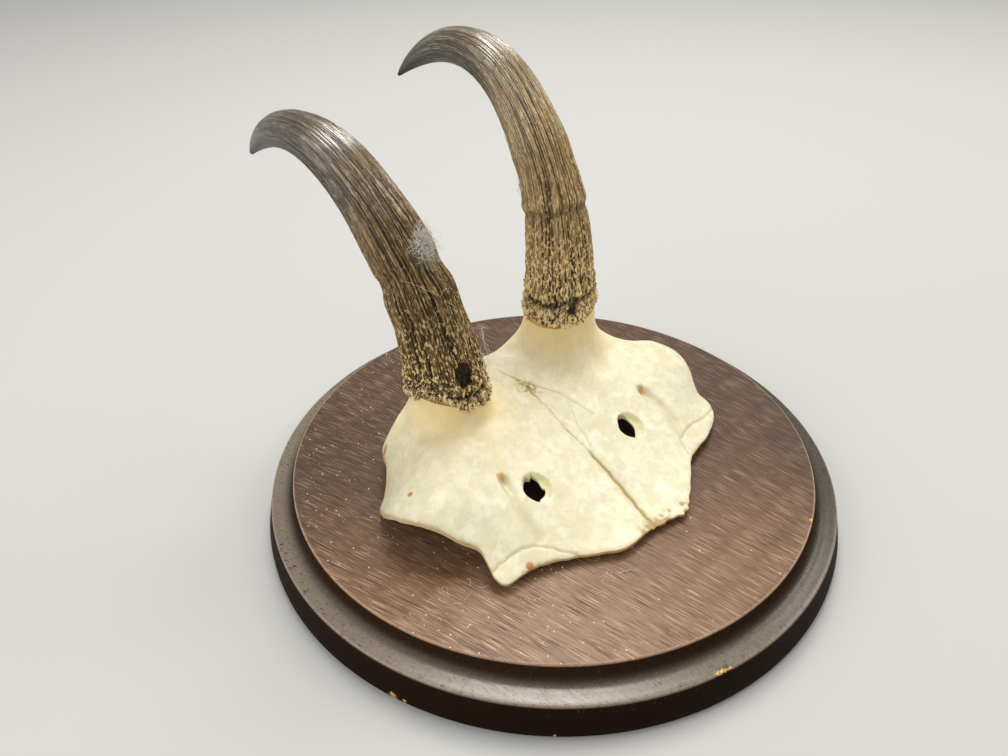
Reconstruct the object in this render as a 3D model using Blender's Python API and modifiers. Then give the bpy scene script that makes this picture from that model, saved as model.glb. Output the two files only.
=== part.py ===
# Chamois skull cap with its two horns, mounted on a round turned board.
# Metres, +Z up. The origin is the centre of the board's flat underside.
# -Y is the way the nose pointed, and the horns hook back towards +Y.

import math

import bmesh
import bpy
import numpy as np
from mathutils import Vector

MM = 0.001
GAP = 0.3 * MM

# Board
BOARD_RADIUS = 90.0 * MM
BOARD_HEIGHT = 15.9 * MM
DISC_RADIUS = 80.9 * MM
RIM_RADIUS = 88.2 * MM
RIM_HEIGHT = 10.2 * MM
COVE_RADIUS = 3.7 * MM
BASE_ROUND = 0.9 * MM
EDGE_BREAK = 0.3 * MM
RIM_FALL = 0.5 * MM
SIDE_TAPER_HEIGHT = 2.5 * MM
COVE_STEPS = 5
BOARD_STEPS = 60

# Skull cap: its plane of symmetry stands a little to the left of the board's centre
SKULL_X = -4.0 * MM
BONE_THICKNESS = 3.0 * MM
GRID_STEP = 3.2 * MM
SHEET_HALF_WIDTH = 62.0 * MM
SHEET_FRONT = -52.0 * MM
SHEET_BACK = 42.0 * MM
EDGE_PRISM_HALF_HEIGHT = 25.0 * MM
SEAT_Z = BOARD_HEIGHT + GAP

# Heights of the bone's upper face over the board, as (sideways, along, height) in mm.
# The midline runs from the nose end to the sawn back edge.
MIDLINE = [
    (0, -48, 3.1), (0, -40, 3.9), (0, -32, 6.8), (0, -24, 10.2), (0, -14, 14.0), (0, -3, 18.4),
    (0, 7, 21.4), (0, 15, 23.6), (0, 22, 24.6), (0, 28, 22.0), (0, 34, 11.0), (0, 38, 3.6),
]
# The other landmarks are the same on both sides.
FOREHEAD = [(12, -48, 3.1), (14, -36, 5.6), (14, -22, 11.3), (13, -8, 17.2), (12, 6, 22.6)]
CROWN = [(11, 16, 25.4), (11, 24, 25.2), (13, 31, 18.0), (14, 37, 3.6)]
BROW = [(27, -38, 3.6), (24, -28, 8.2), (23, -18, 13.0), (24, -6, 19.6), (24.5, 3, 24.6)]
PEDICLE_FOOT = [(24.5, 27, 24.6), (27, 35, 6.0), (36, 15, 24.6), (35, 25, 20.5), (38, 31, 6.0)]
ORBIT_ROOF = [
    (36, -34, 4.2), (36, -22, 11.0), (36, -10, 17.6), (37, 4, 22.4), (49, -3, 18.6), (46, 8, 17.0),
]
ORBIT_RIM = [
    (47, -33, 3.6), (47, -24, 7.4), (50, -14, 15.2), (58, -4, 14.5), (54.5, 1.5, 15.8), (57, 5, 10.0),
]
TEMPLE = [(53, 13, 3.6), (48.5, 17.5, 3.6), (42.5, 18.5, 18.0), (42.3, 23.5, 14.0)]

# The pedicles differ: the right one stands higher.
PEDICLE_TOPS = [
    (-24.5, 15, 25.6), (24.5, 15.5, 32.0), (12.5, 15.5, 27.0), (24.5, 4.0, 26.6), (35.0, 12.0, 25.6),
]

# Outline of the sawn edge seen from above, in mm from the plane of symmetry.
LEFT_EDGE = [
    (-2.8, -46.5), (-11.8, -46.7), (-16.8, -45.6), (-21.5, -42.5), (-31.1, -36.7), (-39.4, -33.7),
    (-44.6, -33.4), (-47.4, -32.5), (-48.2, -29.3), (-46.9, -23.0), (-50.3, -18.9), (-54.4, -12.8),
    (-58.2, -4.5), (-58.0, 3.5), (-54.0, 12.2), (-50.5, 15.5), (-45.5, 19.8), (-42.3, 25.5),
    (-35.0, 33.0), (-20.0, 37.0),
]
RIGHT_EDGE = [
    (0.0, 38.0), (20.0, 37.0), (35.0, 33.0), (42.3, 25.5), (45.5, 19.8), (50.5, 15.5), (54.5, 12.2),
    (58.5, 4.0), (58.5, -4.0), (56.6, -11.6), (52.7, -18.9), (50.9, -22.5), (51.7, -26.0),
    (50.7, -29.5), (47.0, -31.8), (40.3, -34.5), (32.2, -35.9), (26.1, -38.1), (19.0, -43.2),
    (11.6, -47.4), (6.7, -48.1), (2.3, -47.2),
]

# Two holes drilled by hand and countersunk, and the two natural slits beside them
DRILL_PLACES = [(-22.4, -19.6), (17.2, -20.8)]
DRILL_RADIUS = 2.8 * MM
SINK_RADIUS = 4.0 * MM
SINK_DEPTH = 1.1 * MM
SINK_FLARE = 2.0 * MM
DRILL_OVER = 3.0 * MM
DRILL_UNDER = 7.0 * MM
DRILL_STEPS = 16
SLIT_PLACES = [(-29.6, -13.0), (29.8, -13.0)]
SLIT_LENGTH = 4.6 * MM
SLIT_WIDTH = 1.9 * MM
SLIT_DEPTH = 14.0 * MM
SLIT_TURN = 8.0

# Horns: bend from the vertical at fractions of the length, and radius likewise
BEND_AT = [0.0, 0.2, 0.4, 0.55, 0.7, 0.85, 1.0]
BEND_DEGREES = [2.9, 11.4, 31.0, 46.3, 80.1, 112.7, 133.1]
RADIUS_AT = [0.0, 0.15, 0.3, 0.5, 0.7, 0.85, 0.95, 1.0]
RADIUS_MM = [11.9, 10.4, 9.3, 7.8, 6.15, 4.1, 1.9, 0.45]
HORNS = {
    "left_horn": {
        "base": (-28.6, 14.0, 45.6), "length": 119.3, "turn": -4.8, "lean": -6.7, "ring": 0.32,
        "mouth": 0.3, "flare": 0.0, "outward": -1.0,
    },
    "right_horn": {
        "base": (20.5, 16.4, 49.5), "length": 128.8, "turn": -3.7, "lean": 5.0, "ring": 0.36,
        "mouth": 4.0, "flare": 4.5, "outward": 1.0,
    },
}
AXIS_STEPS = 800
RING_DEPTH = 0.05
RING_WIDTH = 0.035
# Each sheath's mouth is cut on a slant that rises outwards, and the pedicle follows it.
MOUTH_SLOPE = 0.33
SPARE = 7.0 * MM
SOCKET_DEPTH = 31.0 * MM
SOCKET_MOUTH = 9.8 * MM
SOCKET_END = 6.2 * MM
SOCKET_STEPS = 6
SOCKET_TIP = (2.5 * MM, 3.7 * MM)
CORE_TIP = (2.0 * MM, 3.1 * MM)
# Pedicle: height over the mouth and radius there, in mm
PEDICLE_NECK = [(-13.0, 11.9), (-8.0, 11.7), (-4.0, 11.4), (0.0, 11.3), (7.0, 11.2)]
FLARE_START = 10.0
FLARE_FALL = 3.4
HORN_POINTS = 35
HORN_SIDES_RESOLUTION = 7
CORE_SIDES_RESOLUTION = 6


def clear_scene():
    for item in list(bpy.data.objects):
        bpy.data.objects.remove(item, do_unlink=True)


def new_collection(name):
    group = bpy.data.collections.new(name)
    bpy.context.scene.collection.children.link(group)
    return group


def principled(name, colour, roughness, metallic=0.0):
    material = bpy.data.materials.new(name)
    material.use_nodes = True
    shader = material.node_tree.nodes["Principled BSDF"]
    shader.inputs["Base Color"].default_value = (*colour, 1.0)
    shader.inputs["Roughness"].default_value = roughness
    shader.inputs["Metallic"].default_value = metallic
    return material


def add_object(name, mesh, group, material=None):
    item = bpy.data.objects.new(name, mesh)
    group.objects.link(item)
    if material:
        mesh.materials.clear()
        mesh.materials.append(material)
    return item


def hide_cutter(item):
    item.hide_render = True
    item.display_type = "WIRE"


def boolean(item, cutter, operation):
    modifier = item.modifiers.new(operation.title() + " " + cutter.name, "BOOLEAN")
    modifier.operation = operation
    modifier.object = cutter
    return modifier


def evaluated_mesh(item):
    graph = bpy.context.evaluated_depsgraph_get()
    graph.update()
    return bpy.data.meshes.new_from_object(item.evaluated_get(graph))


def curve_to_mesh(item, name, group):
    """Turn a curve object into a welded mesh object that takes its place."""
    mesh = evaluated_mesh(item)
    shape = bmesh.new()
    shape.from_mesh(mesh)
    bmesh.ops.remove_doubles(shape, verts=shape.verts, dist=0.00001)
    bmesh.ops.recalc_face_normals(shape, faces=shape.faces)
    shape.to_mesh(mesh)
    shape.free()
    place = item.matrix_world.copy()
    bpy.data.objects.remove(item, do_unlink=True)
    solid = bpy.data.objects.new(name, mesh)
    group.objects.link(solid)
    solid.matrix_world = place
    return solid


# Board

def board_profile():
    """Half section of the turned board, from the middle of its top down the outer side."""
    middle = DISC_RADIUS + COVE_RADIUS
    floor = RIM_HEIGHT + RIM_FALL
    points = [
        (0.0, BOARD_HEIGHT), (DISC_RADIUS - EDGE_BREAK, BOARD_HEIGHT),
        (DISC_RADIUS, BOARD_HEIGHT - EDGE_BREAK),
    ]
    for step in range(COVE_STEPS + 1):
        angle = math.radians(180.0 + 90.0 * step / COVE_STEPS)
        points.append((middle + COVE_RADIUS * math.cos(angle), floor + COVE_RADIUS * (1.0 + math.sin(angle))))
    points += [
        (RIM_RADIUS - RIM_FALL, RIM_HEIGHT), (RIM_RADIUS, RIM_HEIGHT - RIM_FALL),
        (BOARD_RADIUS, SIDE_TAPER_HEIGHT), (BOARD_RADIUS, BASE_ROUND),
        (BOARD_RADIUS - BASE_ROUND, 0.0), (0.0, 0.0),
    ]
    return points


def turned(name, profile, steps, group, material=None):
    """A half section turned round the vertical axis into a closed solid."""
    shape = bmesh.new()
    corners = [shape.verts.new((radius, 0.0, level)) for radius, level in profile]
    for first, second in zip(corners, corners[1:]):
        shape.edges.new((first, second))
    mesh = bpy.data.meshes.new(name)
    shape.to_mesh(mesh)
    shape.free()
    item = add_object(name, mesh, group, material)
    turning = item.modifiers.new("Turning", "SCREW")
    turning.axis = "Z"
    turning.angle = math.radians(360.0)
    turning.steps = steps
    turning.render_steps = steps
    turning.use_merge_vertices = True
    turning.merge_threshold = 0.00005
    turning.use_smooth_shade = False
    return item


def make_board(group):
    stained_wood = principled("stained wood", (0.105, 0.045, 0.030), 0.42)
    return turned("plaque", board_profile(), BOARD_STEPS, group, stained_wood)


# Skull cap

def landmarks():
    """All height landmarks, with those of one side repeated on the other."""
    points = MIDLINE + PEDICLE_TOPS
    for group in (FOREHEAD, CROWN, BROW, PEDICLE_FOOT, ORBIT_ROOF, ORBIT_RIM, TEMPLE):
        for sideways, along, height in group:
            points.append((sideways, along, height))
            points.append((-sideways, along, height))
    return np.array(points, dtype=float)


def plate_kernel(distance):
    safe = np.maximum(distance, 1e-9)
    return safe * safe * np.log(safe)


def bone_surface():
    """A thin plate bent through every landmark: a function of sideways and along, in mm."""
    points = landmarks()
    count = len(points)
    spread = np.linalg.norm(points[:, None, :2] - points[None, :, :2], axis=-1)
    flat = np.column_stack([np.ones(count), points[:, :2]])
    system = np.block([[plate_kernel(spread), flat], [flat.T, np.zeros((3, 3))]])
    weights = np.linalg.solve(system, np.concatenate([points[:, 2], np.zeros(3)]))

    def height(sideways, along):
        reach = np.hypot(sideways - points[:, 0], along - points[:, 1])
        plane = weights[count] + weights[count + 1] * sideways + weights[count + 2] * along
        return float(plate_kernel(reach) @ weights[:count] + plane) + flare(sideways, along)

    return height


def flare(sideways, along):
    """How much the bone rises towards the foot of each pedicle, in mm."""
    rise = 0.0
    for horn in HORNS.values():
        across = sideways - (horn["base"][0] - SKULL_X / MM)
        reach = math.hypot(across, along - horn["base"][1])
        rise += horn["flare"] * math.exp(-max(0.0, reach - FLARE_START) / FLARE_FALL)
    return rise


def edge_prism(group):
    """The outline of the sawn edge, extruded up from just over the board."""
    curve = bpy.data.curves.new("sawn edge", "CURVE")
    curve.dimensions = "2D"
    curve.fill_mode = "BOTH"
    curve.extrude = EDGE_PRISM_HALF_HEIGHT
    curve.resolution_u = 3
    points = LEFT_EDGE + RIGHT_EDGE
    spline = curve.splines.new("BEZIER")
    spline.bezier_points.add(len(points) - 1)
    for knot, (sideways, along) in zip(spline.bezier_points, points):
        knot.co = (sideways * MM, along * MM, 0.0)
        knot.handle_left_type = "AUTO"
        knot.handle_right_type = "AUTO"
    spline.use_cyclic_u = True
    item = bpy.data.objects.new("sawn edge", curve)
    group.objects.link(item)
    item.location = (SKULL_X, 0.0, SEAT_Z + EDGE_PRISM_HALF_HEIGHT)
    bpy.context.view_layer.update()
    prism = curve_to_mesh(item, "edge prism", group)
    hide_cutter(prism)
    return prism


def bone_sheet(group, height):
    """The cap's upper face as a grid bent to the landmarks, thickened downwards."""
    middle = (SHEET_FRONT + SHEET_BACK) / 2
    half_depth = (SHEET_BACK - SHEET_FRONT) / 2
    columns = round(2 * SHEET_HALF_WIDTH / GRID_STEP)
    rows = round(2 * half_depth / GRID_STEP)
    shape = bmesh.new()
    bmesh.ops.create_grid(shape, x_segments=columns, y_segments=rows, size=1.0)
    for corner in shape.verts:
        sideways = corner.co.x * SHEET_HALF_WIDTH
        along = middle + corner.co.y * half_depth
        rise = height(sideways / MM, along / MM) * MM
        corner.co = (SKULL_X + sideways, along, BOARD_HEIGHT + rise)
    bmesh.ops.recalc_face_normals(shape, faces=shape.faces)
    mesh = bpy.data.meshes.new("skull_cap")
    shape.to_mesh(mesh)
    shape.free()
    bleached_bone = principled("bleached bone", (0.80, 0.74, 0.58), 0.45)
    sheet = add_object("skull_cap", mesh, group, bleached_bone)
    wall = sheet.modifiers.new("Thickness", "SOLIDIFY")
    wall.thickness = BONE_THICKNESS
    wall.offset = -1.0
    wall.use_even_offset = True
    return sheet


def drill_cutter(place, height, group, name):
    """A drilled hole and its countersink, as one turned cutter."""
    profile = [
        (0.0, DRILL_OVER), (SINK_RADIUS + SINK_FLARE, DRILL_OVER), (SINK_RADIUS, 0.0),
        (DRILL_RADIUS, -SINK_DEPTH), (DRILL_RADIUS, -DRILL_UNDER), (0.0, -DRILL_UNDER),
    ]
    cutter = turned(name, profile, DRILL_STEPS, group)
    top = BOARD_HEIGHT + height(*place) * MM
    cutter.location = (SKULL_X + place[0] * MM, place[1] * MM, top)
    hide_cutter(cutter)
    return cutter


def slit_cutter(place, height, group, name):
    """A natural slit through the bone, long from front to back."""
    shape = bmesh.new()
    bmesh.ops.create_cone(shape, cap_ends=True, segments=10, radius1=0.5, radius2=0.5, depth=1.0)
    bmesh.ops.scale(shape, verts=shape.verts, vec=(SLIT_WIDTH, SLIT_LENGTH, SLIT_DEPTH))
    mesh = bpy.data.meshes.new(name)
    shape.to_mesh(mesh)
    shape.free()
    cutter = add_object(name, mesh, group)
    top = BOARD_HEIGHT + height(*place) * MM
    cutter.location = (SKULL_X + place[0] * MM, place[1] * MM, top)
    cutter.rotation_euler = (0.0, 0.0, math.radians(SLIT_TURN) * math.copysign(1.0, place[0]))
    hide_cutter(cutter)
    return cutter


# Horns

def smooth_value(at, stations, values):
    """Cubic interpolation through the stations, with slopes from their neighbours."""
    stations = np.asarray(stations, dtype=float)
    values = np.asarray(values, dtype=float)
    slopes = np.gradient(values, stations)
    index = int(np.clip(np.searchsorted(stations, at) - 1, 0, len(stations) - 2))
    span = stations[index + 1] - stations[index]
    t = (at - stations[index]) / span
    start, end = values[index], values[index + 1]
    pull_start, pull_end = slopes[index] * span, slopes[index + 1] * span
    return float((2 * t**3 - 3 * t**2 + 1) * start + (t**3 - 2 * t**2 + t) * pull_start
                 + (3 * t**2 - 2 * t**3) * end + (t**3 - t**2) * pull_end)


def horn_axis(horn, fractions):
    """Points along a horn's middle line, which bends back in one leaning plane."""
    turn, lean = math.radians(horn["turn"]), math.radians(horn["lean"])
    hook_way = Vector((math.sin(turn), math.cos(turn), 0.0))
    side_way = Vector((math.cos(turn), -math.sin(turn), 0.0))
    rise_way = Vector((0.0, 0.0, 1.0)) * math.cos(lean) + side_way * math.sin(lean)
    length = horn["length"] * MM
    track = [Vector(horn["base"]) * MM]
    for step in range(AXIS_STEPS):
        bend = math.radians(smooth_value((step + 0.5) / AXIS_STEPS, BEND_AT, BEND_DEGREES))
        way = hook_way * math.sin(bend) + rise_way * math.cos(bend)
        track.append(track[-1] + way * (length / AXIS_STEPS))
    foot_way = (track[1] - track[0]).normalized()
    points = []
    for fraction in fractions:
        if fraction < 0.0:
            points.append(track[0] + foot_way * (fraction * length))
        else:
            points.append(track[min(AXIS_STEPS, round(fraction * AXIS_STEPS))])
    return points


def horn_radius(horn, fraction):
    """The sheath's radius, with the slight waist of one growth ring."""
    radius = smooth_value(max(fraction, 0.0), RADIUS_AT, RADIUS_MM) * MM
    waist = math.exp(-((fraction - horn["ring"]) / RING_WIDTH) ** 2)
    return radius * (1.0 - RING_DEPTH * waist)


def tube(name, points, radii, group, resolution):
    """A round tube of changing radius through the points, as a welded mesh."""
    curve = bpy.data.curves.new(name, "CURVE")
    curve.dimensions = "3D"
    curve.bevel_depth = 1.0
    curve.bevel_resolution = resolution
    curve.use_fill_caps = True
    curve.twist_mode = "MINIMUM"
    spline = curve.splines.new("POLY")
    spline.points.add(len(points) - 1)
    for knot, place, radius in zip(spline.points, points, radii):
        knot.co = (*place, 1.0)
        knot.radius = radius
    item = bpy.data.objects.new(name, curve)
    group.objects.link(item)
    return curve_to_mesh(item, name, group)


def socket_sections(clearance, tip):
    """Sections of a sheath's socket, or of the core in it: (depth over the mouth, radius)."""
    sections = [(-SPARE, SOCKET_MOUTH - clearance)]
    for step in range(SOCKET_STEPS + 1):
        share = step / SOCKET_STEPS
        radius = SOCKET_MOUTH + (SOCKET_END - SOCKET_MOUTH) * share - clearance
        sections.append((SOCKET_DEPTH * share, radius))
    sections.append((SOCKET_DEPTH + tip[0], tip[1]))
    return sections


def cut_on_slant(item, horn, gap, keep_above):
    """Cut a tube along the slanted plane of the sheath's mouth, and close the cut."""
    centre = horn_axis(horn, [horn["mouth"] / horn["length"]])[0] - Vector((0.0, 0.0, gap))
    normal = Vector((-MOUTH_SLOPE * horn["outward"], 0.0, 1.0)).normalized()
    shape = bmesh.new()
    shape.from_mesh(item.data)
    everything = shape.verts[:] + shape.edges[:] + shape.faces[:]
    bmesh.ops.bisect_plane(shape, geom=everything, plane_co=centre, plane_no=normal, dist=0.000001,
                           clear_inner=keep_above, clear_outer=not keep_above)
    rim = [edge for edge in shape.edges if edge.is_boundary]
    bmesh.ops.edgeloop_fill(shape, edges=rim)
    bmesh.ops.recalc_face_normals(shape, faces=shape.faces)
    shape.to_mesh(item.data)
    shape.free()


def tube_along_horn(name, horn, sections, group):
    """A tube through (depth over the mouth, radius) sections, both in metres."""
    fractions = [(horn["mouth"] * MM + depth) / (horn["length"] * MM) for depth, radius in sections]
    radii = [radius for depth, radius in sections]
    return tube(name, horn_axis(horn, fractions), radii, group, CORE_SIDES_RESOLUTION)


def make_horn(name, horn, group, cutters, material):
    length = horn["length"] * MM
    start = (horn["mouth"] * MM - SPARE) / length
    fractions = [start + (1.0 - start) * step / (HORN_POINTS - 1) for step in range(HORN_POINTS)]
    radii = [horn_radius(horn, fraction) for fraction in fractions]
    sheath = tube(name, horn_axis(horn, fractions), radii, group, HORN_SIDES_RESOLUTION)
    cut_on_slant(sheath, horn, 0.0, True)
    sheath.data.materials.append(material)
    socket = tube_along_horn(name + " socket", horn, socket_sections(0.0, SOCKET_TIP), cutters)
    hide_cutter(socket)
    boolean(sheath, socket, "DIFFERENCE")
    return sheath


def make_core(name, horn, cutters):
    """The bony core inside one sheath."""
    core = tube_along_horn(name + " core", horn, socket_sections(GAP, CORE_TIP), cutters)
    hide_cutter(core)
    return core


def make_pedicle(name, horn, cutters):
    """The foot of one core, which ends just under the sheath's mouth."""
    sections = [(depth * MM, radius * MM) for depth, radius in PEDICLE_NECK]
    neck = tube_along_horn(name + " pedicle", horn, sections, cutters)
    cut_on_slant(neck, horn, GAP, False)
    hide_cutter(neck)
    return neck


def make_skull_cap(group, cutters):
    height = bone_surface()
    cap = bone_sheet(group, height)
    for name, horn in HORNS.items():
        boolean(cap, make_pedicle(name, horn, cutters), "UNION")
        boolean(cap, make_core(name, horn, cutters), "UNION")
    boolean(cap, edge_prism(cutters), "INTERSECT")
    for index, place in enumerate(DRILL_PLACES):
        boolean(cap, drill_cutter(place, height, cutters, f"drill {index + 1}"), "DIFFERENCE")
    for index, place in enumerate(SLIT_PLACES):
        boolean(cap, slit_cutter(place, height, cutters, f"slit {index + 1}"), "DIFFERENCE")
    return cap


clear_scene()
mount = new_collection("chamois_mount")
cutting = new_collection("cutters")
make_board(mount)
make_skull_cap(mount, cutting)
horn_sheath = principled("horn", (0.075, 0.055, 0.040), 0.48)
for horn_name, horn_values in HORNS.items():
    make_horn(horn_name, horn_values, mount, cutting, horn_sheath)
bpy.context.view_layer.update()
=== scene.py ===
import math

import bmesh
import bpy
import numpy as np
from mathutils import Matrix, Vector, noise
from mathutils.geometry import delaunay_2d_cdt


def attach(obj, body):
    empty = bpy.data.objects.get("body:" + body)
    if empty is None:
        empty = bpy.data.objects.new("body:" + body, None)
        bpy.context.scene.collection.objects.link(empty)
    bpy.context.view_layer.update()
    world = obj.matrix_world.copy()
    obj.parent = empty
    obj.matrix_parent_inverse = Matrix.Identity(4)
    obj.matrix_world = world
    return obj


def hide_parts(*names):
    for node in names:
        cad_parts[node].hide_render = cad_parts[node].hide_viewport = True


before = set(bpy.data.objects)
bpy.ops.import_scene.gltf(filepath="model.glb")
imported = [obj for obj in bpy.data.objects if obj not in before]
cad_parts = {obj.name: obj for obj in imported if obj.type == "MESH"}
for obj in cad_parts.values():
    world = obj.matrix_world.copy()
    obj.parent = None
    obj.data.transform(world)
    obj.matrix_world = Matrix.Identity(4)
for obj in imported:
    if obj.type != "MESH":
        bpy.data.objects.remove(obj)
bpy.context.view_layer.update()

# View, table and light
# The mount is seen from above, over its front left side. It stands on a plain pale table top
# in soft light, which comes mostly from behind it and from its right.
MM = 0.001
IN_MM = 1000.0
EYE = Vector((-145.06, -132.93, 182.51)) * MM
AHEAD = Vector((0.5583, 0.5926, -0.5806)).normalized()
ASIDE = Vector((0.7208, -0.6930, -0.0141))
LENS_MM = 28.57
LIT_PLACE = Vector((0.0, 0.0, 0.04))
TABLE_REACH = 9.0
TABLE_LEVEL = -0.0002


def place_object(name, data):
    """A new object in the scene, at the origin."""
    item = bpy.data.objects.new(name, data)
    bpy.context.scene.collection.objects.link(item)
    return item


camera_data = bpy.data.cameras.new("camera")
camera_data.sensor_width = 36.0
camera_data.lens = LENS_MM
camera_data.clip_start = 0.01
camera = place_object("camera", camera_data)
aside = (ASIDE - AHEAD * ASIDE.dot(AHEAD)).normalized()
turn = Matrix((aside, aside.cross(AHEAD), -AHEAD)).transposed()
camera.matrix_world = Matrix.Translation(EYE) @ turn.to_4x4()
bpy.context.scene.camera = camera
bpy.context.scene.view_settings.view_transform = "Standard"


def add_light(name, place, width, height, power, colour):
    """A soft panel that faces the mount."""
    lamp = bpy.data.lights.new(name, "AREA")
    lamp.shape = "RECTANGLE"
    lamp.size = width
    lamp.size_y = height
    lamp.energy = power
    lamp.color = colour
    panel = place_object(name, lamp)
    panel.location = place
    panel.rotation_euler = (LIT_PLACE - Vector(place)).to_track_quat("-Z", "Y").to_euler()


add_light("window", (0.82, -0.30, 0.80), 0.42, 0.42, 3.0, (1.0, 0.94, 0.84))
add_light("back_panel", (0.33, 0.29, 1.02), 0.40, 0.62, 9.6, (1.0, 0.97, 0.90))
add_light("left_fill", (-0.75, 0.15, 0.50), 0.8, 0.6, 3.2, (1.0, 0.97, 0.90))
world = bpy.data.worlds.new("room")
world.use_nodes = True
room_light = world.node_tree.nodes["Background"].inputs
room_light["Color"].default_value = (1.0, 0.97, 0.91, 1.0)
room_light["Strength"].default_value = 0.52
bpy.context.scene.world = world

signs = ((-1, -1), (1, -1), (1, 1), (-1, 1))
corners = [(x * TABLE_REACH, y * TABLE_REACH, TABLE_LEVEL) for x, y in signs]
floor_mesh = bpy.data.meshes.new("table_top")
floor_mesh.from_pydata(corners, [], [(0, 1, 2, 3)])
floor = place_object("table_top", floor_mesh)
paint = bpy.data.materials.new("pale table")
paint.use_nodes = True
paint_inputs = paint.node_tree.nodes["Principled BSDF"].inputs
paint_inputs["Base Color"].default_value = (0.48, 0.49, 0.50, 1.0)
paint_inputs["Roughness"].default_value = 0.7
floor_mesh.materials.append(paint)


# Turned board
# One round board, turned on a lathe with a raised disc, a cove and a flat rim, then stained
# dark over its open grain. Its edges are worn, and small chips show the raw wood.
class Formula:
    """A socket of a node tree, so that the maths of a shape or a finish reads as a formula."""

    def __init__(self, tree, socket=None):
        self.tree = tree
        self.socket = socket

    def fill(self, made, inputs):
        """Give each of these inputs of a node its value or its link."""
        for place, value in inputs.items():
            socket = made.inputs[place]
            if isinstance(value, Formula):
                self.tree.links.new(value.socket, socket)
            elif isinstance(value, tuple) and socket.type == "RGBA":
                socket.default_value = (*value, 1.0)[:4]
            else:
                socket.default_value = value

    def node(self, kind, settings=None, inputs=None, output=0):
        """Add a node of any kind: its settings first, then a value or a link for each input."""
        made = self.tree.nodes.new(kind)
        for name, value in (settings or {}).items():
            setattr(made, name, value)
        self.fill(made, inputs or {})
        return Formula(self.tree, made.outputs[output])

    def out(self, name):
        """Another output of the node that this value comes from."""
        return Formula(self.tree, self.socket.node.outputs[name])

    def maths(self, operation, *values):
        bundle = any(isinstance(v, Formula) and v.socket.type in ("VECTOR", "RGBA") for v in values)
        kind = "ShaderNodeVectorMath" if bundle else "ShaderNodeMath"
        if bundle:
            values = [(v, v, v) if isinstance(v, (int, float)) else v for v in values]
        return self.node(kind, {"operation": operation}, dict(enumerate(values)))

    def __add__(self, other):
        return self.maths("ADD", self, other)

    def __radd__(self, other):
        return self.maths("ADD", other, self)

    def __sub__(self, other):
        return self.maths("SUBTRACT", self, other)

    def __rsub__(self, other):
        return self.maths("SUBTRACT", other, self)

    def __mul__(self, other):
        return self.maths("MULTIPLY", self, other)

    def __rmul__(self, other):
        return self.maths("MULTIPLY", other, self)

    def __truediv__(self, other):
        return self.maths("DIVIDE", self, other)

    def rise(self, low, high):
        """0 below low, 1 over high, and a smooth step between. It falls where low is the larger."""
        if low > high:
            return 1.0 - self.rise(high, low)
        settings = {"interpolation_type": "SMOOTHSTEP"}
        return self.node("ShaderNodeMapRange", settings, {0: self, 1: low, 2: high})

    def pick(self, first, second):
        """The first colour where this value is 0 and the second where it is 1."""
        return self.node("ShaderNodeMix", {"data_type": "RGBA"}, {0: self, 6: first, 7: second}, 2)

    def lay(self, *coats):
        """This colour with others laid over it in turn, each where its own value is high."""
        colour = self
        for where, coat in coats:
            colour = where.pick(colour, coat)
        return colour

    def axis(self, index):
        return self.node("ShaderNodeSeparateXYZ", None, {0: self}, index)

    def vector(self, x, y, z):
        return self.node("ShaderNodeCombineXYZ", None, {0: x, 1: y, 2: z})

    def far(self, place):
        """Distance from this place to another."""
        return self.node("ShaderNodeVectorMath", {"operation": "DISTANCE"}, {0: self, 1: place}, "Value")

    def mark(self, name):
        """A value that each point of the mesh carries."""
        if self.tree.type == "SHADER":
            return self.node("ShaderNodeAttribute", {"attribute_name": name}, None, "Fac")
        return self.node("GeometryNodeInputNamedAttribute", {"data_type": "FLOAT"}, {"Name": name})

    def speckle(self, place, scale=1.0, detail=2.0, rough=0.5):
        """Smooth noise from 0 to 1 at a place."""
        inputs = {"Vector": place, "Scale": scale, "Detail": detail, "Roughness": rough}
        return self.node("ShaderNodeTexNoise", None, inputs)

    def strands(self, angle, across, along, detail=2.0, rough=0.6):
        """Noise round a horn: finer round it where across is large, and longer where along is small."""
        place = self.vector(self.maths("COSINE", angle) * across, self.maths("SINE", angle) * across, along)
        return self.speckle(place, 1.0, detail, rough)


def start_finish(name):
    """A new material, the start of its formulas, and places on the object in mm."""
    material = bpy.data.materials.new(name)
    material.use_nodes = True
    pen = Formula(material.node_tree)
    place = pen.node("ShaderNodeTexCoord", output="Object") * IN_MM
    return material, pen, place


def end_finish(pen, colour, roughness, height=None, depth_mm=0.1, strength=1.0, more=None):
    """Feed the formulas of a finish to its shader, with any more inputs that it has."""
    inputs = {"Base Color": colour, "Roughness": roughness, **(more or {})}
    if height:
        inputs["Normal"] = pen.node("ShaderNodeBump", None, {
            "Height": height, "Distance": depth_mm * MM, "Strength": strength})
    pen.fill(pen.tree.nodes["Principled BSDF"], inputs)


def geometry_tree(name, inputs):
    """An empty Geometry Nodes tree with named inputs, and the start of its formulas."""
    tree = bpy.data.node_groups.new(name, "GeometryNodeTree")
    tree.is_modifier = True
    for way in ("INPUT", "OUTPUT"):
        tree.interface.new_socket(name="Geometry", in_out=way, socket_type="NodeSocketGeometry")
    for label, kind in inputs.items():
        tree.interface.new_socket(name=label, in_out="INPUT", socket_type="NodeSocket" + kind)
    pen = Formula(tree)
    return pen, pen.node("NodeGroupInput")


def end_geometry(pen, geometry, finish):
    """End a tree with real geometry in its finish."""
    real = pen.node("GeometryNodeRealizeInstances", None, {0: geometry})
    dressed = pen.node("GeometryNodeSetMaterial", None, {"Geometry": real, "Material": finish})
    end = pen.tree.nodes.new("NodeGroupOutput")
    pen.tree.links.new(dressed.socket, end.inputs[0])


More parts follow.
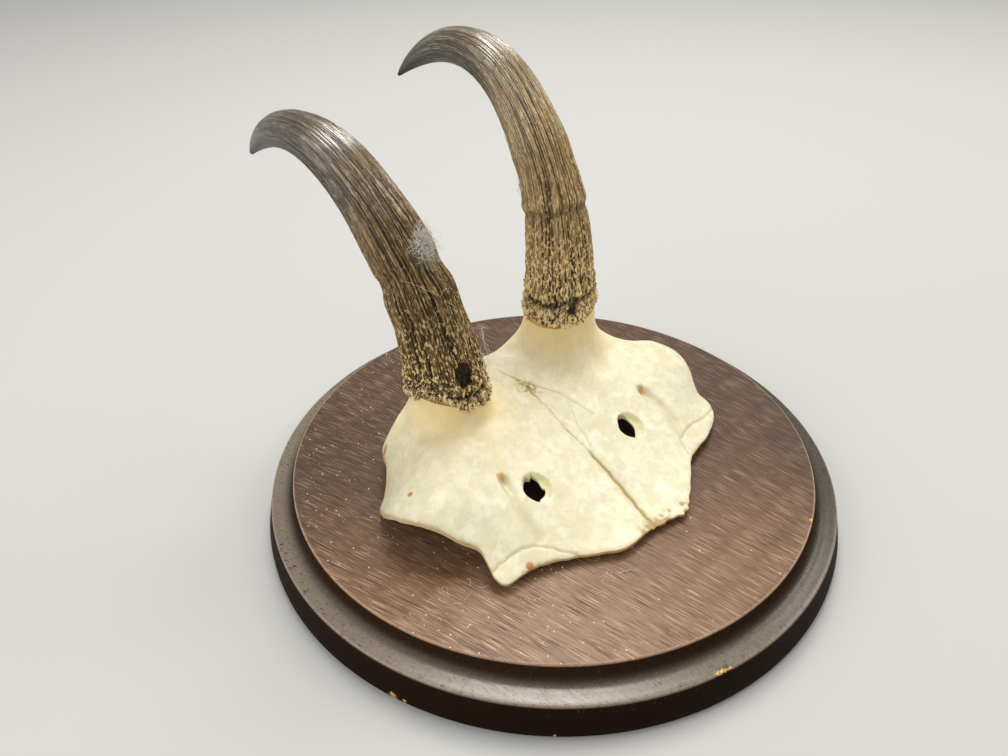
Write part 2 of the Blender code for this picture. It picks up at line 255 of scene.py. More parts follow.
def grow(name, mesh, pen, values):
    """Run a tree on a mesh, and return what it makes as a plain mesh object."""
    seed = place_object(name + " seed", mesh)
    growth = seed.modifiers.new("Growth", "NODES")
    growth.node_group = pen.tree
    for socket in pen.tree.interface.items_tree:
        if socket.in_out == "INPUT" and socket.name in values:
            growth[socket.identifier] = values[socket.name]
    graph = bpy.context.evaluated_depsgraph_get()
    graph.update()
    made = bpy.data.meshes.new_from_object(seed.evaluated_get(graph), depsgraph=graph)
    seed.modifiers.remove(growth)
    bpy.data.objects.remove(seed, do_unlink=True)
    made.name = name
    return place_object(name, made)


MERGE_DISTANCE = 0.000004


def swept_tree(name, rule, extra=None):
    """A tree that turns a half section round an axis. The section's points are (radius, marker,
    distance along the axis), and the rule shapes what is turned."""
    inputs = {"Axis": "Object", "Sides": "Int", "Finish": "Material", **(extra or {})}
    pen, given = geometry_tree(name, inputs)
    axis = pen.node("GeometryNodeObjectInfo", None, {"Object": given.out("Axis")}, "Geometry")
    rows = pen.node("GeometryNodeAttributeDomainSize", {"component": "MESH"}, {0: given}, "Point Count")
    sheet = pen.node("GeometryNodeMeshGrid", None, {
        "Vertices X": given.out("Sides") + 1, "Vertices Y": rows})
    index = pen.node("GeometryNodeInputIndex")
    column = pen.maths("FLOOR", (index + 0.5) / rows)
    row = index - column * rows
    point = pen.node("GeometryNodeSampleIndex", {"data_type": "FLOAT_VECTOR"}, {
        "Geometry": given, "Value": pen.node("GeometryNodeInputPosition"), "Index": row})
    radius, marker, reach = point.axis(0), point.axis(1) * IN_MM, point.axis(2)
    angle = column / given.out("Sides") * math.tau

    def station(along):
        """The axis at a distance along it, and the way out from it at the angle."""
        track = pen.node("GeometryNodeSampleCurve", {"mode": "LENGTH"}, {
            "Curves": axis, "Length": along}, "Position")
        first = track.out("Normal")
        second = pen.maths("CROSS_PRODUCT", track.out("Tangent"), first)
        return track, first * pen.maths("COSINE", angle) + second * pen.maths("SINE", angle)

    shift, swell, marks = rule.shape(pen, given, angle, reach, marker, station(reach)[1])
    track, outward = station(reach + shift)
    bent = pen.node("GeometryNodeSetPosition", None, {
        "Geometry": sheet, "Position": track + outward * (radius + swell)})
    for label, value in {"around": angle, "marker": marker, **marks}.items():
        bent = pen.node("GeometryNodeStoreNamedAttribute", {"data_type": "FLOAT", "domain": "POINT"}, {
            "Geometry": bent, "Name": label, "Value": value})
    whole = pen.node("GeometryNodeMergeByDistance", None, {"Geometry": bent, "Distance": MERGE_DISTANCE})
    whole = rule.finish(pen, given, whole)
    smooth = pen.node("GeometryNodeSetShadeSmooth", None, {"Geometry": whole})
    end_geometry(pen, smooth, given.out("Finish"))
    return pen


def section_mesh(name, points):
    """The points of a section in mm, joined in turn."""
    mesh = bpy.data.meshes.new(name)
    places = [tuple(value * MM for value in point) for point in points]
    mesh.from_pydata(places, [(i, i + 1) for i in range(len(points) - 1)], [])
    return mesh


def axis_object(name, points):
    """A curve with straight steps through the points of an axis."""
    curve = bpy.data.curves.new(name, "CURVE")
    curve.dimensions = "3D"
    spline = curve.splines.new("POLY")
    spline.points.add(len(points) - 1)
    for knot, place in zip(spline.points, points):
        knot.co = (*place, 1.0)
    return place_object(name, curve)


BOARD_HEIGHT = 15.9
BOARD_SIDES = 720
# Chips: place, width and depth in mm
BOARD_CHIPS = [
    ((29.0, -75.1, 15.9), 0.9, 0.3), ((-28.3, -83.3, 10.1), 1.0, 0.4), ((-27.2, -83.7, 10.1), 1.1, 0.4),
    ((-26.1, -84.0, 10.1), 1.0, 0.4), ((-24.9, -84.4, 10.1), 0.7, 0.3),
    ((-86.2, -27.3, 1.4), 1.6, 0.4), ((-84.9, -30.6, 1.2), 1.0, 0.3), ((-64.2, -62.6, 1.0), 0.8, 0.3),
]


def arc(centre, radius, start, stop, steps):
    """Points on an arc of a section, in degrees from the outward side."""
    angles = [math.radians(start + (stop - start) * step / steps) for step in range(steps + 1)]
    return [(centre[0] + radius * math.cos(angle), centre[1] + radius * math.sin(angle)) for angle in angles]


def board_section():
    """Half section of the board, from the middle of its underside out, up and in again."""
    points = [(0.0, 0.0), (40.0, 0.0), (80.0, 0.0)]
    points += arc((89.1, 0.9), 0.9, -90.0, 0.0, 6)
    points += [(90.0, 1.7), (89.99, 2.5), (89.5, 4.6), (89.0, 6.6), (88.5, 8.4)]
    points += arc((87.75, 9.75), 0.45, 0.0, 80.0, 5)
    points += [(86.9, 10.28), (86.0, 10.38), (85.2, 10.5)]
    points += arc((84.6, 14.3), 3.7, 270.0, 182.0, 12)
    points += arc((80.45, 15.45), 0.45, 0.0, 90.0, 5)
    points += [(radius, BOARD_HEIGHT) for radius in (79.4, 78.0, 74.0, 60.0, 40.0, 20.0, 0.0)]
    return [(radius, 0.0, height) for radius, height in points]


def chipped(pen, place):
    """How deep the chips go at a place on the board, in mm, and how much raw wood they show."""
    ragged = pen.speckle(place, 1.3, 3.0, 0.6)
    dent, bare = 0.0, 0.0
    for centre, width, depth in BOARD_CHIPS:
        chip = (place.far(centre) + (ragged - 0.5) * width * 1.4).rise(width, width * 0.25)
        dent = chip * depth + dent
        bare = chip + bare
    return dent, bare


class BoardRule:
    """How the turned board departs from a true turning: chips along its edges."""

    @staticmethod
    def shape(pen, given, angle, reach, marker, outward):
        return 0.0, 0.0, {}

    @staticmethod
    def finish(pen, given, whole):
        place = pen.node("GeometryNodeInputPosition") * IN_MM
        dent = chipped(pen, place)[0]
        normal = pen.node("GeometryNodeInputNormal")
        return pen.node("GeometryNodeSetPosition", None, {"Geometry": whole, "Offset": normal * (dent * -MM)})


def lay_over(pen, colour, where, roughness, specular):
    """Another shader over the finish, which takes its place where the value is 1."""
    output = pen.tree.nodes["Material Output"].inputs[0]
    bump = pen.tree.nodes["Principled BSDF"].inputs["Normal"].links[0].from_socket
    over = pen.node("ShaderNodeBsdfPrincipled", None, {
        "Base Color": colour, "Roughness": roughness, "Specular IOR Level": specular,
        "Normal": Formula(pen.tree, bump)})
    below = Formula(pen.tree, output.links[0].from_socket)
    both = pen.node("ShaderNodeMixShader", None, {0: where, 1: below, 2: over})
    pen.tree.links.new(both.socket, output)


def stained_wood():
    """Dark stain on straight open grain, which runs nearly from front to back. A sheen is painted into it:
    the top is lighter towards the front and its light streaks are stronger there. Painted shade darkens the
    cove under the disc.
    """
    material, pen, place = start_finish("stained_wood")
    x, y, z = place.axis(0), place.axis(1), place.axis(2)
    across = x + 0.105 * y - 0.0023 * (x * y)

    def grain(width, length, layer, detail=1.0):
        return pen.speckle(pen.vector(across / width, y / length, layer), 1.0, detail, 0.6)

    band = grain(7.0, 160.0, 4.0, 3.0)
    fine = grain(0.42, 11.0, 1.0, 2.0)
    pores = grain(0.17, 11.0, 7.0).rise(0.58, 0.63)
    streaks = grain(0.16, 9.0, 12.0).rise(0.605, 0.635)
    cloud = pen.speckle(place, 0.035, 2.0, 0.5)
    grit = pen.speckle(place, 1.1, 3.0, 0.7)
    radius = pen.vector(x, y, 0.0).far((0.0, 0.0, 0.0))
    top = z.rise(15.0, 15.7)
    rim = radius.rise(81.0, 85.5) * z.rise(9.2, 9.9)
    # Painted sheen: the top is painted lighter towards the front, where the lamp behind the board is
    # reflected.
    ahead = (x * -0.68 - y * 0.73 + cloud * 24.0).rise(8.0, 96.0)
    stain = radius.rise(64.0, 79.5) * grain(1.5, 36.0, 2.0, 3.0).rise(0.46, 0.6)
    wood = band.pick((0.060, 0.029, 0.017), (0.095, 0.050, 0.030)).lay(
        # painted sheen towards the front
        (ahead * 0.85, (0.270, 0.148, 0.082)),
        (fine.rise(0.40, 0.66) * 0.22, (0.19, 0.100, 0.058)),
        (stain * 0.40, (0.036, 0.028, 0.027)),
        (pores * 0.65, (0.022, 0.009, 0.005)),
        # The light streaks are grain, painted stronger towards the front as part of the painted sheen.
        (streaks * (0.34 + ahead * 0.46), (0.62, 0.46, 0.33)))
    # The rim and the cove: near black on the right, lighter grey-brown towards the left.
    rim_lighter_leftward = (x.rise(70.0, -70.0) * 0.8 + grit * 0.3).pick((0.022, 0.017, 0.012), (0.180, 0.148, 0.108))
    # Painted shade: the cove under the disc's edge is painted darker, where the disc shades it.
    under = radius.rise(83.0, 80.8) * z.rise(10.2, 10.8)
    dust = pen.speckle(place, 2.6, 2.0, 0.6).rise(0.68, 0.74) * z.rise(5.0, 9.5)
    nicks = grain(0.5, 2.0, 21.0).rise(0.63, 0.67) * rim
    dark = rim.pick((0.013, 0.005, 0.002), rim_lighter_leftward).lay(
        # painted shade in the cove
        (under * 0.8, (0.034, 0.016, 0.007)),
        (dust * 0.45, (0.50, 0.46, 0.38)),
        (nicks * 0.9, (0.018, 0.010, 0.006)))
    edges = radius.rise(80.2, 80.75) * z.rise(15.0, 15.5) + radius.rise(87.6, 88.05) * z.rise(9.6, 10.0) * 0.5
    worn = edges * (grit.rise(0.32, 0.55) * 0.5 + 0.30)
    bare = chipped(pen, place)[1].rise(0.15, 0.6)
    colour = top.pick(dark, wood).lay((worn, (0.44, 0.30, 0.21)), (bare, (0.72, 0.42, 0.12)))
    shine = 0.17 + grit * 0.12 + fine * 0.10 + dust * 0.2
    lines = (fine * 0.3 - pores * 0.8 + streaks * 0.3) * (1.0 - rim * 0.80) + grit * 0.05
    end_finish(pen, colour, shine, lines, 0.10, 0.45, {"Specular IOR Level": 0.65})
    lay_over(pen, colour, top, 0.33 + cloud * 0.08 + pores * 0.2, 0.28)
    lay_over(pen, colour, 1.0 - (top + rim), 0.6, 0.05)
    return material


board_axis = axis_object("board axis", [(0.0, 0.0, 0.0), (0.0, 0.0, 0.01), (0.0, 0.0, 0.02)])
board = grow("turned_board", section_mesh("board section", board_section()),
             swept_tree("turning", BoardRule),
             {"Axis": board_axis, "Sides": BOARD_SIDES, "Finish": stained_wood()})
bpy.data.objects.remove(board_axis, do_unlink=True)
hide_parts("plaque")
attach(board, "root")


# Skull cap
# One bone: the sawn top of a chamois skull with both horn cores, boiled and bleached. Two
# holes are drilled by hand and countersunk, and the sutures, slits and furrows are its own.
SKULL_X = -4.0
MIDLINE = [
    (0, -48, 3.1), (0, -40, 3.9), (0, -32, 6.8), (0, -24, 10.2), (0, -14, 14.0), (0, -3, 18.4),
    (0, 7, 21.4), (0, 15, 23.6), (0, 22, 24.6), (0, 28, 22.0), (0, 34, 11.0), (0, 38, 3.6),
]
BOTH_SIDES = [
    (12, -48, 3.1), (14, -36, 5.6), (14, -22, 11.3), (13, -8, 17.2), (12, 6, 22.6),
    (11, 16, 25.4), (11, 24, 25.2), (13, 31, 18.0), (14, 37, 3.6),
    (27, -38, 3.6), (24, -28, 8.2), (23, -18, 13.0), (24, -6, 19.6), (24.5, 3, 24.6),
    (24.5, 27, 24.6), (27, 35, 6.0), (36, 15, 24.6), (35, 25, 20.5), (38, 31, 6.0),
    (36, -34, 4.2), (36, -22, 11.0), (36, -10, 17.6), (37, 4, 22.4), (49, -3, 18.6), (46, 8, 17.0),
    (47, -33, 3.6), (47, -24, 7.4), (50, -14, 15.2), (58, -4, 14.5), (54.5, 1.5, 15.8), (57, 5, 10.0),
    (53, 13, 3.6), (48.5, 17.5, 3.6), (42.5, 18.5, 18.0), (42.3, 23.5, 14.0),
]
PEDICLE_TOPS = [
    (-24.5, 15, 25.6), (24.5, 15.5, 32.0), (12.5, 15.5, 27.0), (24.5, 4.0, 26.6), (35.0, 12.0, 25.6),
]
SAWN_EDGE = [
    (-2.8, -46.5), (-11.8, -46.7), (-16.8, -45.6), (-21.5, -42.5), (-31.1, -36.7), (-39.4, -33.7),
    (-44.6, -33.4), (-47.4, -32.5), (-48.2, -29.3), (-46.9, -23.0), (-50.3, -18.9), (-54.4, -12.8),
    (-58.2, -4.5), (-58.0, 3.5), (-54.0, 12.2), (-50.5, 15.5), (-45.5, 19.8), (-42.3, 25.5),
    (-35.0, 33.0), (-20.0, 37.0), (0.0, 38.0), (20.0, 37.0), (35.0, 33.0), (42.3, 25.5), (45.5, 19.8),
    (50.5, 15.5), (54.5, 12.2), (58.5, 4.0), (58.5, -4.0), (56.6, -11.6), (52.7, -18.9), (50.9, -22.5),
    (51.7, -26.0), (50.7, -29.5), (47.0, -31.8), (40.3, -34.5), (32.2, -35.9), (26.1, -38.1),
    (19.0, -43.2), (11.6, -47.4), (6.7, -48.1), (2.3, -47.2),
]
# Lines on the bone in plan, mm from its plane of symmetry
SUTURE = [(-2.4, 16.0), (-0.3, 11.5), (0.0, 7.4), (0.1, 3.2), (-0.2, -3.4), (-0.6, -8.8), (-0.4, -13.9),
          (-0.1, -18.9), (-0.2, -23.8), (-0.4, -31.0), (-1.3, -38.6), (-2.8, -46.6)]
SUTURE_FRONT = [(-0.2, -21.0), (-0.2, -26.0), (-0.4, -31.0), (-1.3, -38.6), (-2.8, -47.0)]
BRANCH = [(1.6, 8.0), (3.1, 6.1), (5.6, 2.1), (7.8, -2.2), (9.2, -7.2), (10.4, -12.0)]
SCRATCH = [(5.3, -7.9), (3.5, -11.6), (2.5, -15.4), (1.5, -19.1)]
HAIRLINES = [[(-1.9, 9.9), (-3.6, 5.1), (-5.9, 1.1)], [(-5.6, 2.2), (-11.1, -5.7), (-16.4, -12.1)]]
FURROWS = [
    [(-29.3, -14.1), (-29.9, -16.8), (-30.9, -20.0), (-31.4, -23.1), (-31.8, -26.6), (-32.6, -30.0)],
    [(31.0, -14.6), (31.8, -17.8), (33.0, -20.9), (33.0, -24.9), (31.4, -30.5)],
]
TEAR_BONES = [
    [(-50.0, -28.4), (-47.3, -28.3), (-45.0, -28.2), (-41.5, -28.4), (-37.6, -28.9), (-33.8, -30.4),
     (-31.2, -33.1), (-29.3, -35.7), (-26.2, -38.8)],
    [(27.5, -36.5), (29.6, -31.1), (34.3, -29.9), (38.5, -29.3), (42.9, -29.4), (47.8, -29.1), (52.6, -28.1)],
]
KNOT = (0.6, 6.6)
DRILLS = [(-22.3, -19.8), (18.0, -20.6)]
DRILL_OPENINGS = [
    [(-25.4, -17.9), (-24.2, -17.0), (-22.8, -17.5), (-22.1, -17.0), (-21.3, -18.6), (-21.6, -20.4),
     (-21.2, -21.2), (-22.4, -22.2), (-24.0, -22.4), (-25.0, -22.8), (-26.3, -21.8), (-26.9, -20.2),
     (-26.4, -18.7)],
    [(14.7, -18.6), (15.9, -17.5), (17.4, -17.6), (18.3, -18.6), (18.5, -20.4), (18.2, -21.5),
     (17.3, -22.6), (15.9, -23.8), (14.6, -23.4), (13.6, -22.2), (13.4, -20.4)],
]
SLITS = [(-29.2, -13.6), (31.2, -14.6)]
# Red-brown spots: place and size in mm
SPOTS = [(-52.6, -1.7, 0.7), (-39.0, -33.4, 1.1), (-43.5, 22.3, 0.8)]
SINK_RADIUS = 4.4
SINK_DEPTH = 1.1
SINK_WALL = 0.45
OPENING_SHIFT = (0.55, 0.65)
OPENING_SPREAD = 1.16
OPENING_STEP = 0.4
BONE_WALL = 3.0
EDGE_WALL = 1.15
EDGE_STEP = 0.7
EDGE_ROUNDING = 0.25
EDGE_ROUNDED = 0.55
FINE_STEP = 0.42
UNDER_STEP = 1.2
SLOPE_STEP = 0.3
ROW_STEP = 0.866
EDGE_CLEAR = 0.45
HOLE_CLEAR = 0.25
STEEPEST = 4.0
UNDER_GAP = 0.3


def plate_surface(points):
    """A thin plate bent through (sideways, along, height) points, as a function of places."""
    points = np.array(points, dtype=float)
    count = len(points)

    def kernel(distance):
        safe = np.maximum(distance, 1e-9)
        return safe * safe * np.log(safe)

    spread = np.linalg.norm(points[:, None, :2] - points[None, :, :2], axis=-1)
    flat = np.column_stack([np.ones(count), points[:, :2]])
    system = np.block([[kernel(spread), flat], [flat.T, np.zeros((3, 3))]])
    weights = np.linalg.solve(system, np.concatenate([points[:, 2], np.zeros(3)]))

    def height(places):
        reach = np.linalg.norm(places[:, None, :] - points[None, :, :2], axis=-1)
        return kernel(reach) @ weights[:count] + weights[count] + places @ weights[count + 1:]

    return height


def round_loop(points, step):
    """A smooth closed line through the points, with an even step between its own."""
    points = np.array(points, dtype=float)
    before, after, later = np.roll(points, 1, 0), np.roll(points, -1, 0), np.roll(points, -2, 0)
    track = []
    for a, b, c, d in zip(before, points, after, later):
        for t in np.arange(0.0, 1.0, 0.05):
            square = (2 * a - 5 * b + 4 * c - d) * t**2
            track.append(0.5 * (2 * b + (c - a) * t + square + (3 * b - a - 3 * c + d) * t**3))
    track = np.array(track + [track[0]])
    reach = np.concatenate([[0.0], np.cumsum(np.linalg.norm(np.diff(track, axis=0), axis=1))])
    count = round(reach[-1] / step)
    even = np.arange(count) * reach[-1] / count
    return np.column_stack([np.interp(even, reach, track[:, 0]), np.interp(even, reach, track[:, 1])])


def held(values):
    """The values held between 0 and 1."""
    return np.clip(values, 0.0, 1.0)


def line_distance(places, line):
    """Distance from each place to an open line."""
    best = np.full(len(places), 1e9)
    for (ax, ay), (bx, by) in zip(line, line[1:]):
        span = np.array([bx - ax, by - ay])
        share = held(((places - (ax, ay)) @ span) / (span @ span))
        best = np.minimum(best, np.linalg.norm(places - (ax, ay) - share[:, None] * span, axis=1))
    return best


def inside_loop(places, loop):
    """Which places lie inside a closed line."""
    inside = np.zeros(len(places), dtype=bool)
    x, y = places[:, 0], places[:, 1]
    for (ax, ay), (bx, by) in zip(loop, np.roll(loop, -1, 0)):
        if ay != by:
            inside ^= ((ay > y) != (by > y)) & (x < (bx - ax) * (y - ay) / (by - ay) + ax)
    return inside


def bell(distance, width):
    """1 where the distance is 0, and next to nothing beyond twice the width."""
    return np.exp(-(distance / width) ** 2)


def near_line(places, line, width):
    return bell(line_distance(places, line), width)


def near_point(places, point, width, stretch=(1.0, 1.0)):
    return bell(np.linalg.norm((places - point) * stretch, axis=1), width)


def ripple(places, size, layer):
    """Smooth wandering between about -1 and 1, one value for each place."""
    return np.array([noise.noise(Vector((x / size, y / size, layer))) for x, y in places])


def wavered(places):
    """The places moved a little, so that a line drawn through them wavers as a suture does."""
    return places + 0.35 * np.column_stack([ripple(places, 2.2, 3.3), ripple(places, 2.2, 6.1)])


# Horns: their bend from base to tip, and for each its place, its lean and the shape of its mouth.
# They come here first, because the bone carries their cores.
BEND_AT = [0.0, 0.2, 0.4, 0.55, 0.7, 0.85, 1.0]
BEND_DEGREES = [2.9, 11.4, 31.0, 46.3, 80.1, 112.7, 133.1]
HORNS = {
    "left_horn": {
        "base": (-28.6, 14.0, 45.6), "length": 119.3, "turn": -4.8, "lean": -6.7, "mouth": 0.3,
        "outward": -1.0, "slope": 0.33, "drop": 0.0, "flare": 0.0, "crack": 4.4,
        "lift": (-0.839, -0.545, 2.6), "lip": (0.087, -0.996, 1.6),
        "pit": (-0.10, -0.995, 10.2), "pit size": (2.7, 4.0, 0.9)},
    "right_horn": {
        "base": (20.5, 16.4, 49.5), "length": 128.8, "turn": -3.7, "lean": 5.0, "mouth": 4.0,
        "outward": 1.0, "slope": 0.20, "drop": 1.3, "flare": 4.5, "crack": 5.6,
        "lift": (0.0, 1.0, 0.0), "lip": (-0.68, -0.73, 0.9),
        "pit": (-0.42, -0.91, 4.6), "pit size": (1.9, 2.3, 2.2)},
}
PEDICLE_RADIUS = 11.3
FOOT_RADIUS = 14.6
FOOT_POINTS = 112
CORE_MOUTH = 9.4
CORE_END = 5.9
CORE_LENGTH = 31.0
CORE_TIP = 1.6
CORE_SHOULDER = 0.6
AXIS_STEPS = 800


def curve_weights(t):
    """How much the start, the way it leaves, the end and the way it arrives count along a smooth curve."""
    return 2 * t**3 - 3 * t**2 + 1, t**3 - 2 * t**2 + t, 3 * t**2 - 2 * t**3, t**3 - t**2


def smooth_value(at, stations, values):
    """Cubic interpolation through the stations, with slopes from their neighbours."""
    slopes = np.gradient(values, stations)
    index = int(np.clip(np.searchsorted(stations, at) - 1, 0, len(stations) - 2))
    span = stations[index + 1] - stations[index]
    start, leave, end, arrive = curve_weights((at - stations[index]) / span)
    return float(start * values[index] + leave * slopes[index] * span
                 + end * values[index + 1] + arrive * slopes[index + 1] * span)


def horn_axis(horn, reaches):
    """Points on a horn's middle line, at distances from its base in mm."""
    turn, lean = math.radians(horn["turn"]), math.radians(horn["lean"])
    hook_way = Vector((math.sin(turn), math.cos(turn), 0.0))
    side_way = Vector((math.cos(turn), -math.sin(turn), 0.0))
    rise_way = Vector((0.0, 0.0, 1.0)) * math.cos(lean) + side_way * math.sin(lean)
    track = [Vector(horn["base"])]
    for step in range(AXIS_STEPS):
        bend = math.radians(smooth_value((step + 0.5) / AXIS_STEPS, BEND_AT, BEND_DEGREES))
        way = hook_way * math.sin(bend) + rise_way * math.cos(bend)
        track.append(track[-1] + way * (horn["length"] / AXIS_STEPS))
    first = (track[1] - track[0]).normalized()
    points = []
    for reach in reaches:
        spot = reach / horn["length"] * AXIS_STEPS
        if spot < 0.0:
            points.append(track[0] + first * reach)
        else:
            low = min(int(spot), AXIS_STEPS - 1)
            points.append(track[low].lerp(track[low + 1], spot - low))
    return points


def from_horn(places, horn):
    """Distance in plan from each place to the middle of a horn's base."""
    return np.hypot(places[:, 0] - horn["base"][0] + SKULL_X, places[:, 1] - horn["base"][1])


def flare(places):
    """How much the bone rises towards the foot of each pedicle."""
    rise = np.zeros(len(places))
    for horn in HORNS.values():
        rise += horn["flare"] * np.exp(-np.maximum(0.0, from_horn(places, horn) - 10.0) / 3.4)
    return rise


both_sides = [(side * x, y, z) for x, y, z in BOTH_SIDES for side in (1, -1)]
bone_plate = plate_surface(MIDLINE + PEDICLE_TOPS + both_sides)


def bone_top(places):
    """Height of the bone's upper face over the board, with its sutures and furrows."""
    crooked = wavered(places)
    rise = bone_plate(places) + flare(places)
    rise += 0.16 * ripple(places, 9.0, 1.5) + 0.05 * ripple(places, 2.6, 8.5)
    rise -= 0.50 * near_line(places, SUTURE_FRONT, 1.5)
    scores = [(SUTURE, 0.28, 0.45), (SUTURE_FRONT, 0.20, 0.4), (BRANCH, 0.12, 0.4), (SCRATCH, 0.10, 0.35)]
    scores += [(line, 0.22, 0.3) for line in TEAR_BONES]
    for line, depth, width in scores:
        rise -= depth * near_line(crooked, line, width)
    for furrow, slit in zip(FURROWS, SLITS):
        rise -= 0.85 * near_line(places, furrow, 1.35)
        back = held((slit[1] + 2.0 - places[:, 1]) / 0.6) * held((places[:, 1] - slit[1] + 4.5) / 6.0)
        rise -= 1.7 * back * held(1.5 * near_line(places, furrow[:3], 1.5) - 0.25)
    for line in TEAR_BONES:
        line = np.array(line)
        ahead = np.interp(places[:, 0], line[:, 0], line[:, 1]) - places[:, 1]
        within = (places[:, 0] > line[0, 0]) & (places[:, 0] < line[-1, 0])
        rise -= 0.28 * within * held(ahead / 0.5 + 0.5)
    rise += near_point(places, KNOT, 2.9, (1.25, 0.8)) * (1.3 * np.abs(ripple(places, 1.1, 5.5)) + 0.1)
    broken = near_line(places, [(-5.0, -46.0), (9.0, -47.5)], 2.2)
    rise += broken * (0.24 * np.abs(ripple(places, 2.4, 4.2)) - 0.22)
    for drill in DRILLS:
        reach = np.linalg.norm(places - drill, axis=1) + 0.3 * ripple(places, 1.6, 2.2)
        rise -= SINK_DEPTH * held((SINK_RADIUS - reach) / 1.5)
    return rise


def bone_wall(places):
    """Thickness of the bone: thin at the arches over the eyes."""
    side = held((np.abs(places[:, 0]) - 38.0) / 14.0)
    ahead = held((10.0 - places[:, 1]) / 10.0)
    return BONE_WALL - 1.3 * side * ahead


def crumbled(loop):
    """The sawn edge with its small waves, and broken away in steps at the front."""
    ahead = np.roll(loop, -1, 0) - np.roll(loop, 1, 0)
    out = np.column_stack([ahead[:, 1], -ahead[:, 0]]) / np.linalg.norm(ahead, axis=1)[:, None]
    wave = 0.22 * ripple(loop, 3.5, 9.1) + 0.10 * ripple(loop, 1.1, 4.4)
    front = (loop[:, 1] < -42.0) * held(1.0 - np.abs(loop[:, 0] - 4.0) / 11.0)
    steps = np.floor(ripple(loop, 2.0, 7.7) * 3.5) / 3.5 - 0.35
    return loop - out * (wave + front * steps * -2.4)[:, None]


edge = crumbled(round_loop(SAWN_EDGE, EDGE_STEP))
if np.sum(edge[:, 0] * np.roll(edge[:, 1], -1) - edge[:, 1] * np.roll(edge[:, 0], -1)) < 0.0:
    edge = edge[::-1]
closed_edge = np.vstack([edge, edge[:1]])
openings = []
for loop in DRILL_OPENINGS:
    loop = np.array(loop)
    wide = (loop - loop.mean(axis=0)) * OPENING_SPREAD + loop.mean(axis=0) + OPENING_SHIFT
    openings.append(round_loop(wide, OPENING_STEP))
feet = []
for horn in HORNS.values():
    angles = np.linspace(0.0, math.tau, FOOT_POINTS, endpoint=False)
    centre = (horn["base"][0] - SKULL_X, horn["base"][1])
    feet.append(np.column_stack([np.cos(angles), np.sin(angles)]) * FOOT_RADIUS + centre)


def plan_triangles(outer, holes, inner):
    """Triangles in plan inside the outer line and outside the holes, and the points of each line."""
    loops = [outer] + holes
    numbers, start = [], 0
    for loop in loops:
        numbers.append(list(range(start, start + len(loop))))
        start += len(loop)
    edges = [pair for ring in numbers for pair in zip(ring, ring[1:] + ring[:1])]
    places = [Vector(place) for place in np.vstack(loops + [inner])]
    result = delaunay_2d_cdt(places, edges, [], 1, 1e-7, True)
    places = np.array([tuple(place) for place in result[0]])
    corners = np.array([tuple(face) for face in result[2]])
    middles = places[corners].mean(axis=1)
    keep = inside_loop(middles, outer)
    for hole in holes:
        keep &= ~inside_loop(middles, hole)
    now = {old: new for new, olds in enumerate(result[3]) for old in olds}
    return places, corners[keep], [[now[old] for old in ring] for ring in numbers]


def filling(step, coarse, holes, details):
    """Places inside the bone's edge: all of them near the details, and fewer elsewhere."""
    low, high = edge.min(axis=0), edge.max(axis=0)
    places = []
    for r, y in enumerate(np.arange(low[1], high[1], step * ROW_STEP)):
        for c, x in enumerate(np.arange(low[0] + (r % 2) * step / 2, high[0], step)):
            places.append((x, y, (r % coarse == 0) and (c % coarse == 0)))
    places = np.array(places)
    near = np.zeros(len(places), dtype=bool)
    for line, reach in details:
        near |= line_distance(places[:, :2], line) < reach
    places = places[near | (places[:, 2] > 0.5), :2]
    keep = inside_loop(places, edge) & (line_distance(places, closed_edge) > EDGE_CLEAR)
    for hole in holes:
        closed = np.vstack([hole, hole[:1]])
        keep &= ~inside_loop(places, hole) & (line_distance(places, closed) > HOLE_CLEAR)
    return places[keep]


# Lines with fine triangles round them, and how far out
DETAILS = [(SUTURE, 1.6), (SUTURE_FRONT, 2.6), (BRANCH, 1.0), (SCRATCH, 0.9), (TEAR_BONES[0], 1.2),
           (TEAR_BONES[1], 1.2), ([KNOT, (0.7, 6.7)], 4.0), ([(-11.0, -46.0), (14.0, -46.5)], 3.0)]
DETAILS += [([(x, y), (x + 0.1, y)], SINK_RADIUS + 1.2) for x, y in DRILLS]
DETAILS += [([(x, y - 4), (x, y + 2)], 3.0) for x, y in SLITS]
DETAILS += [([(x, y), (x + 0.1, y)], size * 2.0) for x, y, size in SPOTS]


def stitch(first, second):
    """Four-sided faces between two rings that have as many points each."""
    return list(zip(first[1:] + first[:1], first, second, second[1:] + second[:1]))


